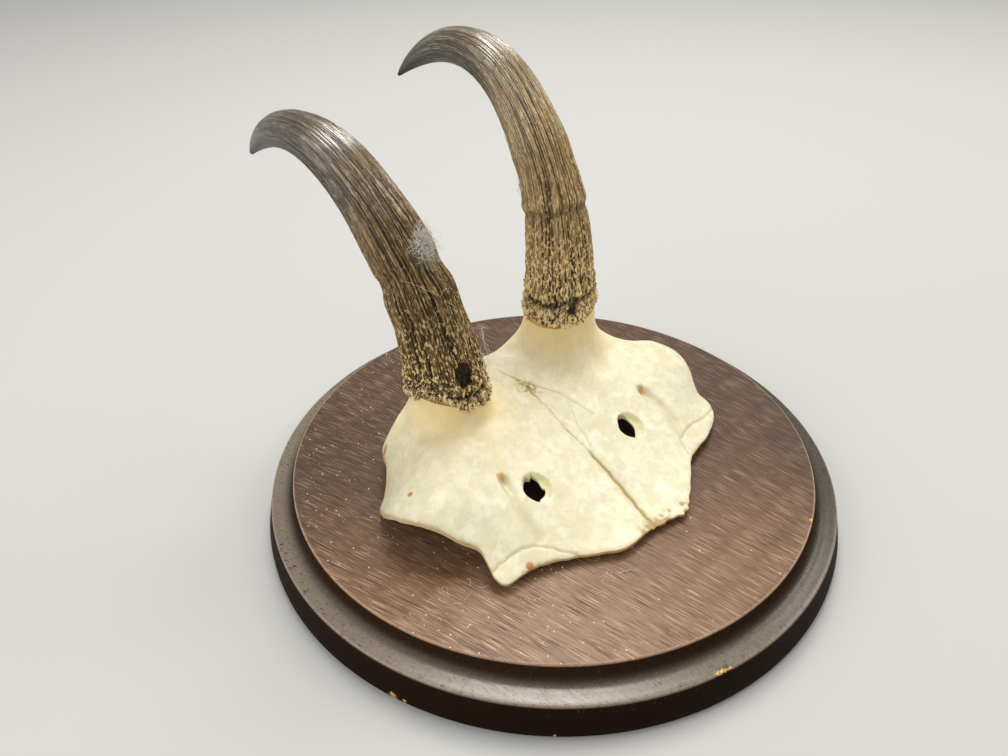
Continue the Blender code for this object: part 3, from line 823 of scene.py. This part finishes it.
def bone_mesh():
    """The cap: its upper face, the lower face, the cut edges between them, and the cores."""
    gaps = openings + feet
    places, faces, rings = plan_triangles(edge, gaps, filling(FINE_STEP, 2, gaps, DETAILS))
    top = bone_top(places)
    top -= EDGE_ROUNDING * held(1.0 - line_distance(places, closed_edge) / EDGE_ROUNDED) ** 2
    under, under_faces, under_rings = plan_triangles(edge, openings, filling(UNDER_STEP, 1, openings, []))
    slopes = []
    for way in ((SLOPE_STEP, 0.0), (0.0, SLOPE_STEP)):
        slopes.append((bone_plate(under + way) - bone_plate(under - way)) / (2 * SLOPE_STEP))
    steep = np.minimum(np.sqrt(1.0 + slopes[0]**2 + slopes[1]**2), STEEPEST)
    thick = np.minimum(bone_wall(under), EDGE_WALL + 0.75 * line_distance(under, closed_edge))
    for drill in DRILLS:
        beyond = np.maximum(np.linalg.norm(under - drill, axis=1) - 4.5, 0.0)
        thick = np.minimum(thick, SINK_DEPTH + SINK_WALL + 0.5 * beyond)
    low = np.maximum(bone_plate(under) - thick * steep, UNDER_GAP)
    points = [np.column_stack([places, top]), np.column_stack([under, low])]
    base, total = len(places), len(places) + len(under)
    triangles = [tuple(face) for face in faces]
    triangles += [tuple(base + corner for corner in face[::-1]) for face in under_faces]
    quads = []
    for ring, below in zip(rings[:1 + len(openings)], under_rings):
        quads += stitch(ring, [base + corner for corner in below])
    for horn, ring in zip(HORNS.values(), rings[1 + len(openings):]):
        core, tip = pedicle(horn, places[ring], top[ring])
        points += [core, tip]
        for row in range(len(core) // len(ring)):
            fresh = list(range(total, total + len(ring)))
            quads += stitch(fresh, ring)
            total += len(ring)
            ring = fresh
        triangles += [(a, b, total) for a, b in zip(ring, ring[1:] + ring[:1])]
        total += 1
    points = np.vstack(points)
    mesh = bpy.data.meshes.new("bone_cap")
    solid = (points + (SKULL_X, 0.0, BOARD_HEIGHT)) * MM
    mesh.from_pydata([tuple(point) for point in solid], [], triangles + quads)
    shape = bmesh.new()
    shape.from_mesh(mesh)
    bmesh.ops.recalc_face_normals(shape, faces=shape.faces)
    shape.to_mesh(mesh)
    shape.free()
    mesh.update()
    return mesh, points


def pedicle(horn, foot, foot_top):
    """Rings from the bone's face up round one core, and the core's tip, as places over the board."""
    mouth, above = horn_axis(horn, [horn["mouth"], horn["mouth"] + 1.0])
    way = np.array(above - mouth)
    centre = np.array(mouth) - (SKULL_X, 0.0, BOARD_HEIGHT)
    start = np.column_stack([foot, foot_top])
    out = np.column_stack([foot - centre[:2], np.zeros(len(foot))])
    out /= np.linalg.norm(out, axis=1)[:, None]
    rim = centre + out * PEDICLE_RADIUS
    slope_out = horn["slope"] * horn["outward"]
    rim[:, 2] += slope_out * (rim[:, 0] - centre[0]) - 0.3 - horn["drop"]
    step = 0.4
    slope = (bone_top(foot) - bone_top(foot + out[:, :2] * step)) / step
    leave = -out
    leave[:, 2] = slope
    leave /= np.linalg.norm(leave, axis=1)[:, None]
    gap = np.linalg.norm(rim - start, axis=1)[:, None]
    rings = []
    for t in (0.1, 0.2, 0.3, 0.4, 0.5, 0.6, 0.7, 0.8, 0.9, 1.0):
        at_start, away, at_end, arriving = curve_weights(t)
        rings.append(start * at_start + leave * gap * away * 1.1 + rim * at_end + way * gap * arriving * 1.1)
    shoulder = centre + out * (CORE_MOUTH + CORE_SHOULDER)
    shoulder[:, 2] = rim[:, 2] - (rim - shoulder)[:, 0] * slope_out + 0.1
    rings.append(shoulder)
    for share in (0.04, 0.12, 0.3, 0.5, 0.75, 1.0):
        spot = horn_axis(horn, [horn["mouth"] + CORE_LENGTH * share])[0]
        middle = np.array(spot) - (SKULL_X, 0.0, BOARD_HEIGHT)
        ring = middle + out * (CORE_MOUTH + (CORE_END - CORE_MOUTH) * share)
        ring[:, 2] += slope_out * (ring[:, 0] - middle[0]) * (1.0 - share)
        rings.append(ring)
    spot = horn_axis(horn, [horn["mouth"] + CORE_LENGTH + CORE_TIP])[0]
    tip = np.array(spot) - (SKULL_X, 0.0, BOARD_HEIGHT)
    return np.vstack(rings), tip[None, :]


bone_shape, bone_points = bone_mesh()
bone = place_object("bone_cap", bone_shape)


def mark_bone(mesh, points):
    """Store on each point how much of each stain the bone shows there, and how much painted shade."""
    places = points[:, :2]
    crooked = wavered(places)
    rim = line_distance(places, closed_edge)
    ahead = held((8.0 - places[:, 1]) / 50.0)
    tan = (0.70 + 0.15 * ahead) * near_line(crooked, SUTURE, 0.40) * (0.8 + 0.6 * ripple(places, 1.3, 11.2))
    tan += 0.22 * near_line(places, SUTURE_FRONT, 1.5)
    stains = [(SUTURE_FRONT, 0.50, 0.45), (BRANCH, 0.55, 0.30), (SCRATCH, 0.55, 0.28),
              (HAIRLINES[0], 0.36, 0.3), (HAIRLINES[1], 0.26, 0.3)]
    stains += [(line, 0.55, 0.3) for line in TEAR_BONES]
    for line, strength, width in stains:
        tan += strength * near_line(crooked, line, width)
    tan += 1.3 * near_point(places, KNOT, 3.2, (1.15, 0.8)) * held(0.6 + 1.4 * ripple(places, 0.9, 2.1))
    front = near_line(places, [(-6.0, -46.5), (10.0, -47.5)], 2.4)
    tan += 1.15 * front * held(0.5 + 1.8 * ripple(places, 1.5, 6.6)) + 0.35 * held(1.0 - rim / 0.4)
    grey = 0.45 * np.exp(-rim / 4.0) * held(0.6 + ripple(places, 7.0, 3.7))
    # Painted shade: grey along the front suture's valley and along the furrows, where these hollows are
    # shaded.
    grey += 0.40 * near_line(places, SUTURE_FRONT, 1.8)
    for furrow in FURROWS:
        grey += 0.55 * near_line(places, furrow, 1.5)
    ochre, rust, green, amber = np.zeros((4, len(places)))
    for horn in HORNS.values():
        reach = from_horn(places, horn)
        # Ochre stain round each pedicle. Its colour is painted brighter to stand in for light glowing through
        # the bone.
        ochre += np.exp(-np.maximum(0.0, reach - 11.5) / 4.5) + 0.7 * (reach < 11.0)
    for drill in DRILLS:
        away = places - drill
        sunk = np.linalg.norm(away, axis=1) < SINK_RADIUS + 0.1
        green += sunk * held(0.45 + 0.12 * away @ (1.0, 0.6))
        # Painted shade: tan darkens the left and back side of each countersink, where its wall is shaded.
        tan += sunk * np.clip(0.26 - 0.10 * away @ (0.9, -0.4), 0.0, 0.5)
    for x, y in SLITS:
        lip = [(x - 0.9, y + 2.0), (x - 1.4, y + 0.9), (x - 1.7, y - 2.0), (x - 2.1, y - 4.9)]
        tan += 0.80 * near_line(places, lip, 0.30) * held((places[:, 1] - y + 5.5) / 4.0)
        middle = np.linalg.norm((places - (x - 0.1, y + 1.2)) * (1.0, 1.2), axis=1)
        amber += held((1.25 - middle) / 0.5)
    for x, y, size in SPOTS:
        rust += 1.5 * near_point(places, (x, y), size)
    marks = {"tan": held(tan), "ochre": ochre, "rust": held(rust), "green": held(green),
             "grey": held(grey), "amber": held(amber), "cut": held(1.0 - rim / 0.25)}
    for name, values in marks.items():
        layer = mesh.attributes.new(name, "FLOAT", "POINT")
        layer.data.foreach_set("value", values.astype(np.float32))


mark_bone(bone_shape, bone_points)


def bleached_bone():
    """Bleached bone: cream with grey clouds, ochre under the horns and tan at breaks. Painted shade lies in
    the furrows, in the front suture's valley and on one side of each countersink, and the ochre is painted
    brighter to stand in for light through the bone.
    """
    material, pen, place = start_finish("bleached_bone")
    cloud = pen.speckle(place, 0.16, 4.0, 0.62)
    patch = pen.speckle(place + 40.0, 0.30, 3.0, 0.6)
    white = pen.speckle(place + 90.0, 0.24, 3.0, 0.55)
    fine = pen.speckle(place, 1.7, 3.0, 0.6)
    drift = pen.speckle(place, 0.5, 2.0).pick((0.0, 0.0, 0.0), (3.0, 3.0, 3.0))
    veins = pen.node("ShaderNodeTexVoronoi", {"feature": "DISTANCE_TO_EDGE"}, {
        "Vector": place + drift, "Scale": 0.22}, "Distance")
    tan = pen.mark("tan") * (0.55 + fine * 0.9)
    colour = cloud.rise(0.34, 0.62).pick((0.66, 0.63, 0.43), (0.74, 0.72, 0.54)).lay(
        (patch.rise(0.46, 0.64) * 0.55, (0.60, 0.59, 0.45)),
        (white.rise(0.52, 0.64) * 0.45, (0.84, 0.83, 0.73)),
        (fine.rise(0.55, 0.75) * 0.10, (0.86, 0.84, 0.71)),
        # grey: greyer near the edge, and painted shade in the furrows and the front suture's valley
        (pen.mark("grey"), (0.56, 0.53, 0.33)),
        (veins.rise(0.05, 0.01) * 0.16, (0.55, 0.46, 0.28)),
        # ochre stain, painted brighter to stand in for light glowing through the bone
        (pen.mark("ochre") * 0.62, (1.0, 0.74, 0.30)),
        (pen.mark("green") * 0.70, (0.58, 0.55, 0.22)),
        (tan.rise(0.10, 0.95), (0.42, 0.31, 0.13)),
        ((pen.mark("rust") * (0.7 + 0.6 * patch)).rise(0.15, 0.9), (0.46, 0.20, 0.06)),
        ((pen.mark("cut") * (0.25 + cloud * 0.9)).rise(0.25, 1.1), (0.58, 0.34, 0.12)),
        (pen.mark("amber") * (0.65 + 0.4 * patch), (0.62, 0.32, 0.06)))
    shine = 0.30 + fine * 0.16 + patch * 0.10 + tan * 0.25
    end_finish(pen, colour, shine, fine * 0.6 + cloud * 0.5 - tan * 0.8, 0.14, 0.6, {
        "Subsurface Weight": 0.10, "Subsurface Radius": (1.0, 0.7, 0.4), "Subsurface Scale": 0.002})
    return material


bone_shape.materials.append(bleached_bone())
bone_shape.shade_smooth()
bone_shape.set_sharp_from_angle(angle=math.radians(50.0))
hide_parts("skull_cap")
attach(bone, "root")


# Horn sheaths
# Two hollow sheaths of dark horn, each pulled off its core, cleaned and slid back on. They are
# grooved along their length, dry and flaky at the mouth, and worn smooth at the hooked tip.
RADIUS_AT = [0.0, 0.15, 0.3, 0.5, 0.7, 0.85, 0.95, 1.0]
RADIUS_MM = [11.9, 10.4, 9.3, 7.8, 6.15, 4.1, 1.9, 0.45]
AXIS_SPARE = 8.0
AXIS_STEP = 0.5
SHEATH_SIDES = 320
SHEATH_STEP = 0.75
TIP_ROUNDING = 0.8
MOUTH_RADIUS = 11.5
FLAKES = 1500000.0
# The socket from its end to the mouth: radius and depth in mm
SOCKET = [(0.0, 33.5), (3.7, 33.4), (6.2, 31.0), (7.4, 20.7), (8.6, 10.3), (9.4, 3.4), (9.75, 0.8),
          (9.9, 0.25)]
# The yearly rings: place as a share of the length, width in mm and depth as a share of the radius
RINGS = {
    "left_horn": [(0.32, 3.0, 0.070), (0.335, 1.0, 0.02), (0.275, 2.6, -0.03), (0.42, 5.0, -0.015),
                  (0.21, 3.0, 0.02), (0.5, 5.0, 0.012)],
    "right_horn": [(0.264, 1.1, 0.050), (0.254, 3.0, 0.02), (0.285, 1.5, -0.040), (0.36, 3.6, 0.025),
                   (0.42, 4.0, -0.02), (0.12, 1.6, 0.02)],
}


def sheath_section(name, horn):
    """Half section of one sheath: down its socket's wall, over the mouth and out to the tip."""
    mouth, length = horn["mouth"], horn["length"]
    points = [(radius, 0.0, depth) for radius, depth in SOCKET] + [(10.3, 0.2, 0.0)]
    reaches = [0.0, 0.25, 0.7, 1.3]
    while reaches[-1] < length - mouth - 1.2:
        reaches.append(reaches[-1] + SHEATH_STEP)
    reaches += [length - mouth - 0.7, length - mouth - 0.3, length - mouth - 0.08]
    for reach in reaches:
        share = (reach + mouth) / length
        radius = smooth_value(share, RADIUS_AT, RADIUS_MM)
        for place, width, depth in RINGS[name]:
            radius *= 1.0 - depth * math.exp(-(((share - place) * length) / width) ** 2)
        radius -= 0.7 * (1.0 - min(1.0, (reach + 0.15) / 0.6))
        left = length - mouth - reach
        if left < TIP_ROUNDING:
            radius *= math.sqrt(max(0.0, 1.0 - (1.0 - left / TIP_ROUNDING) ** 2))
        points.append((radius, 1.0, reach))
    points.append((0.0, 1.0, length - mouth))
    return [(radius, marker, reach + AXIS_SPARE) for radius, marker, reach in points]


def scatter(pen, face, density, radius, scale, seed, tilt=(0.0, 0.0, 0.0)):
    """Grains scattered over a mesh, each with its own scale and tilt."""
    spots = pen.node("GeometryNodeDistributePointsOnFaces", {"distribute_method": "RANDOM"}, {
        "Mesh": face, "Density": density, "Seed": seed})
    grain = pen.node("GeometryNodeMeshIcoSphere", None, {"Radius": radius, "Subdivisions": 1})
    return pen.node("GeometryNodeInstanceOnPoints", None, {
        "Points": spots, "Instance": grain, "Rotation": tilt, "Scale": scale})


class SheathRule:
    """Grooves along the horn, crumbs, a pit and a crack at its mouth, and the mouth's ragged slant."""

    @staticmethod
    def shape(pen, given, angle, reach, marker, outward):
        over = (reach - AXIS_SPARE * MM) * IN_MM
        seed = given.out("Seed")
        x, y = outward.axis(0), outward.axis(1)

        def facing(way):
            """How squarely the wall faces a way in plan."""
            return x * way.axis(0) + y * way.axis(1)

        turned = angle + pen.strands(angle, 2.0, over * 0.03 + seed, 2.0, 0.5) * 0.30
        ridges = pen.strands(turned, 12.5, over * 0.03 + seed)
        even = pen.maths("SINE", turned * 66.0 + pen.strands(angle, 3.0, over * 0.05, 1.0, 0.5) * 9.0)
        crumbs = pen.strands(angle, 11.0, over * 0.75 + seed * 3.0, 3.0, 0.65).rise(0.34, 0.66)
        crust = over.rise(16.0, 3.0)
        tip = over.rise(95.0, 52.0) * 0.82 + 0.18
        fibre = (ridges + even * 0.09).rise(0.36, 0.62)
        lips = pen.strands(angle, 2.6, seed * 7.0, 3.0)
        nicks = pen.strands(angle, 9.0, seed * 5.0)
        crack = over + (lips - 0.5) * 5.0 + (nicks - 0.5) * 2.0 - given.out("Crack Height")
        split = crack.rise(-0.8, -0.1) * crack.rise(1.2, 0.4) * (lips + nicks).rise(0.76, 0.90)
        pit, size = given.out("Pit"), given.out("Pit Size")
        side = (x * pit.axis(1) - y * pit.axis(0)) * 11.0 / size.axis(0)
        tall = (over - pit.axis(2)) / size.axis(1)
        hollow = (side * side + tall * tall + (crumbs - 0.5) * 0.5).rise(1.1, 0.7)
        hollow = hollow * facing(pit).rise(0.0, 0.3)
        swell = ((fibre - 0.6) * given.out("Groove Depth") * tip
                 + (crumbs - 0.45) * given.out("Crumb Depth") * (crust + 0.14 * tip)
                 - split * given.out("Crack Depth") - hollow * size.axis(2) * MM) * marker
        lift, lip = given.out("Lift"), given.out("Lip")
        raised = facing(lift).rise(0.84, 0.95) * lift.axis(2)
        hung = facing(lip).rise(0.66, 0.88) * lip.axis(2)
        shift = (x * given.out("Slant") - given.out("Drop") + (raised - hung) * MM
                 + (lips - 0.5) * given.out("Raggedness")
                 + (nicks - 0.5) * given.out("Raggedness") * 0.8 * over.rise(3.0, 0.0)) * over.rise(13.0, 0.0)
        marks = {"fibre": fibre, "crumb": crumbs, "split": pen.maths("MAXIMUM", split, hollow),
                 "over": over, "sky": outward.axis(2)}
        return shift, swell, marks

    @staticmethod
    def finish(pen, given, whole):
        """Flakes of dry horn that stand off the crust round the mouth."""
        def between(low, high, seed):
            limits = {0: low, 1: high, "Seed": seed}
            return pen.node("FunctionNodeRandomValue", {"data_type": "FLOAT_VECTOR"}, limits)

        crust = pen.mark("over").rise(11.0, 2.0) * pen.mark("marker") * pen.mark("crumb").rise(0.3, 0.8)
        density = crust * pen.mark("split").rise(0.5, 0.1) * given.out("Flakes")
        size = between((0.5, 0.4, 0.7), (1.2, 0.8, 2.6), 9)
        tilt = between((-0.5, -0.5, -0.5), (0.5, 0.5, 0.5), 2)
        flakes = scatter(pen, whole, density, 0.5 * MM, size, 5, tilt)
        real = pen.node("GeometryNodeRealizeInstances", None, {0: flakes})
        jagged = pen.node("ShaderNodeTexNoise", {"noise_dimensions": "3D"}, {
            "Vector": pen.node("GeometryNodeInputPosition") * IN_MM, "Scale": 1.3}, "Color") - 0.5
        real = pen.node("GeometryNodeSetPosition", None, {"Geometry": real, "Offset": jagged * (0.9 * MM)})
        both = pen.node("GeometryNodeJoinGeometry", None, {0: real})
        pen.tree.links.new(whole.socket, both.socket.node.inputs[0])
        return both


def dark_horn():
    """Weathered horn: dark grooves between tan fibres, grey and glossy towards the tip. Painted shade darkens
    its downward sides high up and a band below the right horn's ring, and a painted highlight runs along that
    ring's raised edge.
    """
    material, pen, place = start_finish("dark_horn")
    ridge, crumb, along, angle = [pen.mark(name) for name in ("fibre", "crumb", "over", "around")]
    thread = pen.strands(angle, 24.0, along * 0.05)
    hair = pen.strands(angle, 36.0, along * 0.30)
    splinter = pen.strands(angle, 21.0, along * 0.8)
    fleck = pen.speckle(place, 1.5, 3.0, 0.7)
    patch = pen.speckle(place, 0.13, 3.0, 0.6)
    low = along.rise(48.0, 4.0)
    mouth = along.rise(9.5, 2.0)
    high = along.rise(52.0, 92.0)
    right = place.axis(0).rise(-5.0, 5.0)
    pale = (high * 0.9).pick((0.66, 0.50, 0.24), (0.40, 0.34, 0.23))
    groove = (ridge + (thread - 0.5) - high * 0.06).rise(0.37, 0.12)
    crest = (ridge * 0.5 + (hair - 0.5) * 2.2 + (splinter - 0.5) * (1.4 - high * 1.2)).rise(0.36, 0.66)
    blot = pen.speckle(place, 0.5, 3.0, 0.65).rise(0.50, 0.66)
    gold = (splinter * 0.9 + crumb * 0.2 + low * 0.08 + right * 0.03).rise(0.66, 0.73)
    crust = (fleck * 1.2 + crumb * 0.2).rise(0.68, 0.80) * mouth
    waist = along + (fleck - 0.5) * 4.0
    # Painted shadow: a dark band just below the raised edge of the right horn's ring, which overhangs it.
    below = waist.rise(26.5, 30.0) * waist.rise(31.6, 30.8) * right
    # Painted highlight: a light line along the raised edge of the right horn's ring.
    ledge_highlight = waist.rise(31.0, 31.6) * waist.rise(34.5, 32.6) * right
    # Painted shade: the downward-facing sides of the upper horn are painted darker.
    under = pen.mark("sky").rise(0.25, -0.55) * along.rise(45.0, 75.0)
    fluff = place.far((-31.6, 15.0, 92.0))
    colour = patch.rise(0.35, 0.65).pick((0.180, 0.102, 0.034), (0.090, 0.048, 0.014)).lay(
        (right, (0.330, 0.215, 0.092)),
        (high * 0.9, (0.044, 0.034, 0.021)),
        (groove * (0.97 - right * 0.10 - high * 0.08), (0.012, 0.007, 0.003)),
        (crest * (0.42 + right * 0.30 - high * 0.10), pale),
        (blot * (0.46 - high * 0.25 - right * 0.16) + mouth * 0.35, (0.030, 0.017, 0.007)),
        (gold * (low * 0.80 + 0.12 + right * 0.10 - high * 0.2), (0.92, 0.71, 0.36)),
        (crust * 0.95, (0.95, 0.76, 0.42)),
        # painted shadow below the ring's raised edge
        (below * 0.35, (0.035, 0.020, 0.009)),
        # painted highlight along the ring's raised edge
        (ledge_highlight * (crest * 0.35 + 0.05), (0.86, 0.66, 0.36)),
        (along.rise(100.0, 119.0) * 0.6, (0.020, 0.015, 0.010)),
        # painted shade on the downward-facing sides
        (under * 0.65, (0.020, 0.013, 0.007)),
        ((fluff + fleck * 5.0).rise(10.0, 3.0) * 0.50, (0.62, 0.60, 0.54)),
        (pen.mark("split") * 0.95, (0.012, 0.008, 0.004)))
    shine = 0.50 - high * 0.18 + low * 0.25 + (fleck - 0.5) * 0.2
    polish = along.rise(26.0, 72.0) * (hair.rise(0.35, 0.6) * 0.55 + 0.45)
    polish = polish * fluff.rise(4.0, 12.0) * (1.0 - under * 0.9)
    end_finish(pen, colour, shine, hair * (0.8 - high * 0.4) + fleck * (low * 0.9 + 0.1), 0.22, 0.7, {
        "Specular IOR Level": 0.25, "Coat Roughness": 0.23, "Coat IOR": 1.8, "Coat Weight": polish})
    return material


sheath_tree = swept_tree("grooved horn", SheathRule, {
    "Seed": "Float", "Groove Depth": "Float", "Crumb Depth": "Float", "Slant": "Float",
    "Raggedness": "Float", "Crack Height": "Float", "Crack Depth": "Float", "Pit": "Vector",
    "Pit Size": "Vector", "Flakes": "Float", "Drop": "Float", "Lift": "Vector", "Lip": "Vector"})
horn_finish = dark_horn()
for number, (name, horn) in enumerate(HORNS.items()):
    count = round((horn["length"] - horn["mouth"] + AXIS_SPARE) / AXIS_STEP) + 1
    reaches = np.linspace(horn["mouth"] - AXIS_SPARE, horn["length"], count)
    axis = axis_object(name + " axis", [point * MM for point in horn_axis(horn, reaches)])
    section = section_mesh(name + " section", sheath_section(name, horn))
    sheath = grow(name + "_sheath", section, sheath_tree, {
        "Axis": axis, "Sides": SHEATH_SIDES, "Finish": horn_finish, "Seed": 3.7 + 11.3 * number,
        "Groove Depth": 0.48 * MM, "Crumb Depth": 0.9 * MM, "Crack Depth": 0.8 * MM,
        "Slant": horn["slope"] * horn["outward"] * MOUTH_RADIUS * MM, "Drop": horn["drop"] * MM,
        "Lift": horn["lift"], "Lip": horn["lip"], "Raggedness": 3.2 * MM, "Flakes": FLAKES,
        "Crack Height": horn["crack"], "Pit": horn["pit"], "Pit Size": horn["pit size"]})
    bpy.data.objects.remove(axis, do_unlink=True)
    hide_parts(name)
    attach(sheath, "root")


# Dust and fibres
# Fine dust lies on the board, most of it to the left of the bone and under its edge. Cobweb and
# short fibres of lint cling to the rough parts of the horns and to the board.
def pale_dust():
    """Pale grey and cream dust."""
    material, pen, place = start_finish("pale_dust")
    colour = pen.speckle(place, 0.8).pick((0.50, 0.46, 0.38), (0.86, 0.84, 0.78))
    end_finish(pen, colour, 0.8)
    return material


def dust_tree():
    """Specks scattered on the level top of the piece, more where it lies to the left."""
    pen, given = geometry_tree("settled dust", {
        "Specks": "Float", "Smallest": "Float", "Largest": "Float", "Seed": "Int", "Finish": "Material"})
    place = pen.node("GeometryNodeInputPosition") * IN_MM
    x, y, z = place.axis(0), place.axis(1), place.axis(2)
    drift = pen.speckle(place, 0.06, 3.0, 0.6).rise(0.40, 0.65)
    here = z.rise(15.6, 15.85) * (x * -0.6 + y * 0.1).rise(-30.0, 50.0) * (drift + 0.15)
    size = pen.node("FunctionNodeRandomValue", {"data_type": "FLOAT"}, {
        2: given.out("Smallest"), 3: given.out("Largest"), "Seed": 4}, 1)
    specks = scatter(pen, given, here * given.out("Specks"), 1.0,
                     pen.vector(size, size * 1.4, size * 0.6), given.out("Seed"))
    end_geometry(pen, specks, given.out("Finish"))
    return pen


def fibre_tree():
    """Thin threads along the lines of the mesh that it is given."""
    pen, given = geometry_tree("fibres", {"Thickness": "Float", "Finish": "Material"})
    line = pen.node("GeometryNodeMeshToCurve", None, {0: given})
    ring = pen.node("GeometryNodeCurvePrimitiveCircle", None, {
        "Resolution": 3, "Radius": given.out("Thickness")})
    thread = pen.node("GeometryNodeCurveToMesh", None, {
        "Curve": line, "Profile Curve": ring, "Fill Caps": True})
    end_geometry(pen, thread, given.out("Finish"))
    return pen


# Each tuft: place, way out from the surface, spread and length in mm, and number of fibres
TUFTS = [
    ((-32.2, 15.3, 93.2), (0.22, -0.83, 0.51), 4.0, 2.8, 300),
    ((-20.6, 7.4, 62.5), (0.7, -0.6, 0.1), 2.0, 4.5, 16),
    ((-40.6, 16.5, 49.5), (-0.98, 0.1, 0.0), 2.0, 4.0, 16),
    ((15.2, 30.0, 100.6), (-0.95, 0.1, 0.0), 1.6, 3.5, 10),
    ((15.0, 28.2, 90.6), (-0.9, 0.4, 0.0), 2.6, 4.5, 12),
    ((-23.6, 3.4, 58.5), (0.4, -0.9, 0.1), 2.2, 4.0, 12),
    ((-28.6, -49.0, 16.2), (0.0, 0.0, 1.0), 6.0, 5.0, 7),
    ((-62.0, -22.0, 16.2), (0.0, 0.0, 1.0), 14.0, 3.5, 8),
    ((12.0, 9.0, 55.0), (-0.7, -0.6, 0.1), 3.0, 3.5, 8),
]
FIBRE_STEPS = 9
WEBS = [
    [(-40.9, 15.6, 85.4), (-38.9, 13.1, 84.6), (-36.5, 10.9, 82.9), (-33.8, 9.1, 80.6), (-31.2, 8.2, 77.6),
     (-28.6, 8.0, 75.0)],
    [(-39.6, 10.6, 74.2), (-37.3, 8.4, 72.3), (-35.4, 7.6, 73.6), (-33.4, 7.1, 73.0), (-31.2, 7.2, 74.8)],
    [(-33.5, 9.2, 80.2), (-31.6, 9.0, 81.8), (-29.4, 9.6, 81.2)],
]


def lint_lines(seed):
    """The middle lines of all the fibres, as places and steps between them."""
    dice = np.random.default_rng(seed)
    places, steps = [], []

    def add(place, joined):
        places.append(tuple(place * MM))
        if joined:
            steps.append((len(places) - 2, len(places) - 1))

    for centre, out, spread, length, number in TUFTS:
        out = np.array(out) / np.linalg.norm(out)
        for fibre in range(number):
            start = dice.normal(0.0, spread * 0.45, 3)
            place = np.array(centre) + start - out * (start @ out) * 0.85 + out * 0.1
            way = dice.normal(0.0, 1.0, 3)
            way -= out * (way @ out) * 0.8
            for step in range(FIBRE_STEPS):
                add(place, step)
                way = way / np.linalg.norm(way) + dice.normal(0.0, 0.38, 3)
                way -= out * (way @ out) * 0.5
                place = place + way / np.linalg.norm(way) * length / FIBRE_STEPS * dice.uniform(0.7, 1.3)
                if out[2] > 0.9:
                    place[2] = max(place[2], BOARD_HEIGHT + 0.15)
    for web in WEBS:
        for number, (first, second) in enumerate(zip(web, web[1:])):
            for share in np.arange(0.0, 1.0, 0.2):
                sway = dice.normal(0.0, 0.10, 3)
                add(np.array(first) * (1.0 - share) + np.array(second) * share + sway, number or share)
    return places, steps


dust_finish = pale_dust()
dust = grow("settled_dust", board.data.copy(), dust_tree(), {
    "Specks": 90000.0, "Smallest": 0.07 * MM, "Largest": 0.24 * MM, "Seed": 3, "Finish": dust_finish})
lint_mesh = bpy.data.meshes.new("lint lines")
lint_mesh.from_pydata(*lint_lines(11), [])
lint = grow("lint", lint_mesh, fibre_tree(), {"Thickness": 0.045 * MM, "Finish": dust_finish})
for piece in (dust, lint):
    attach(piece, "root")
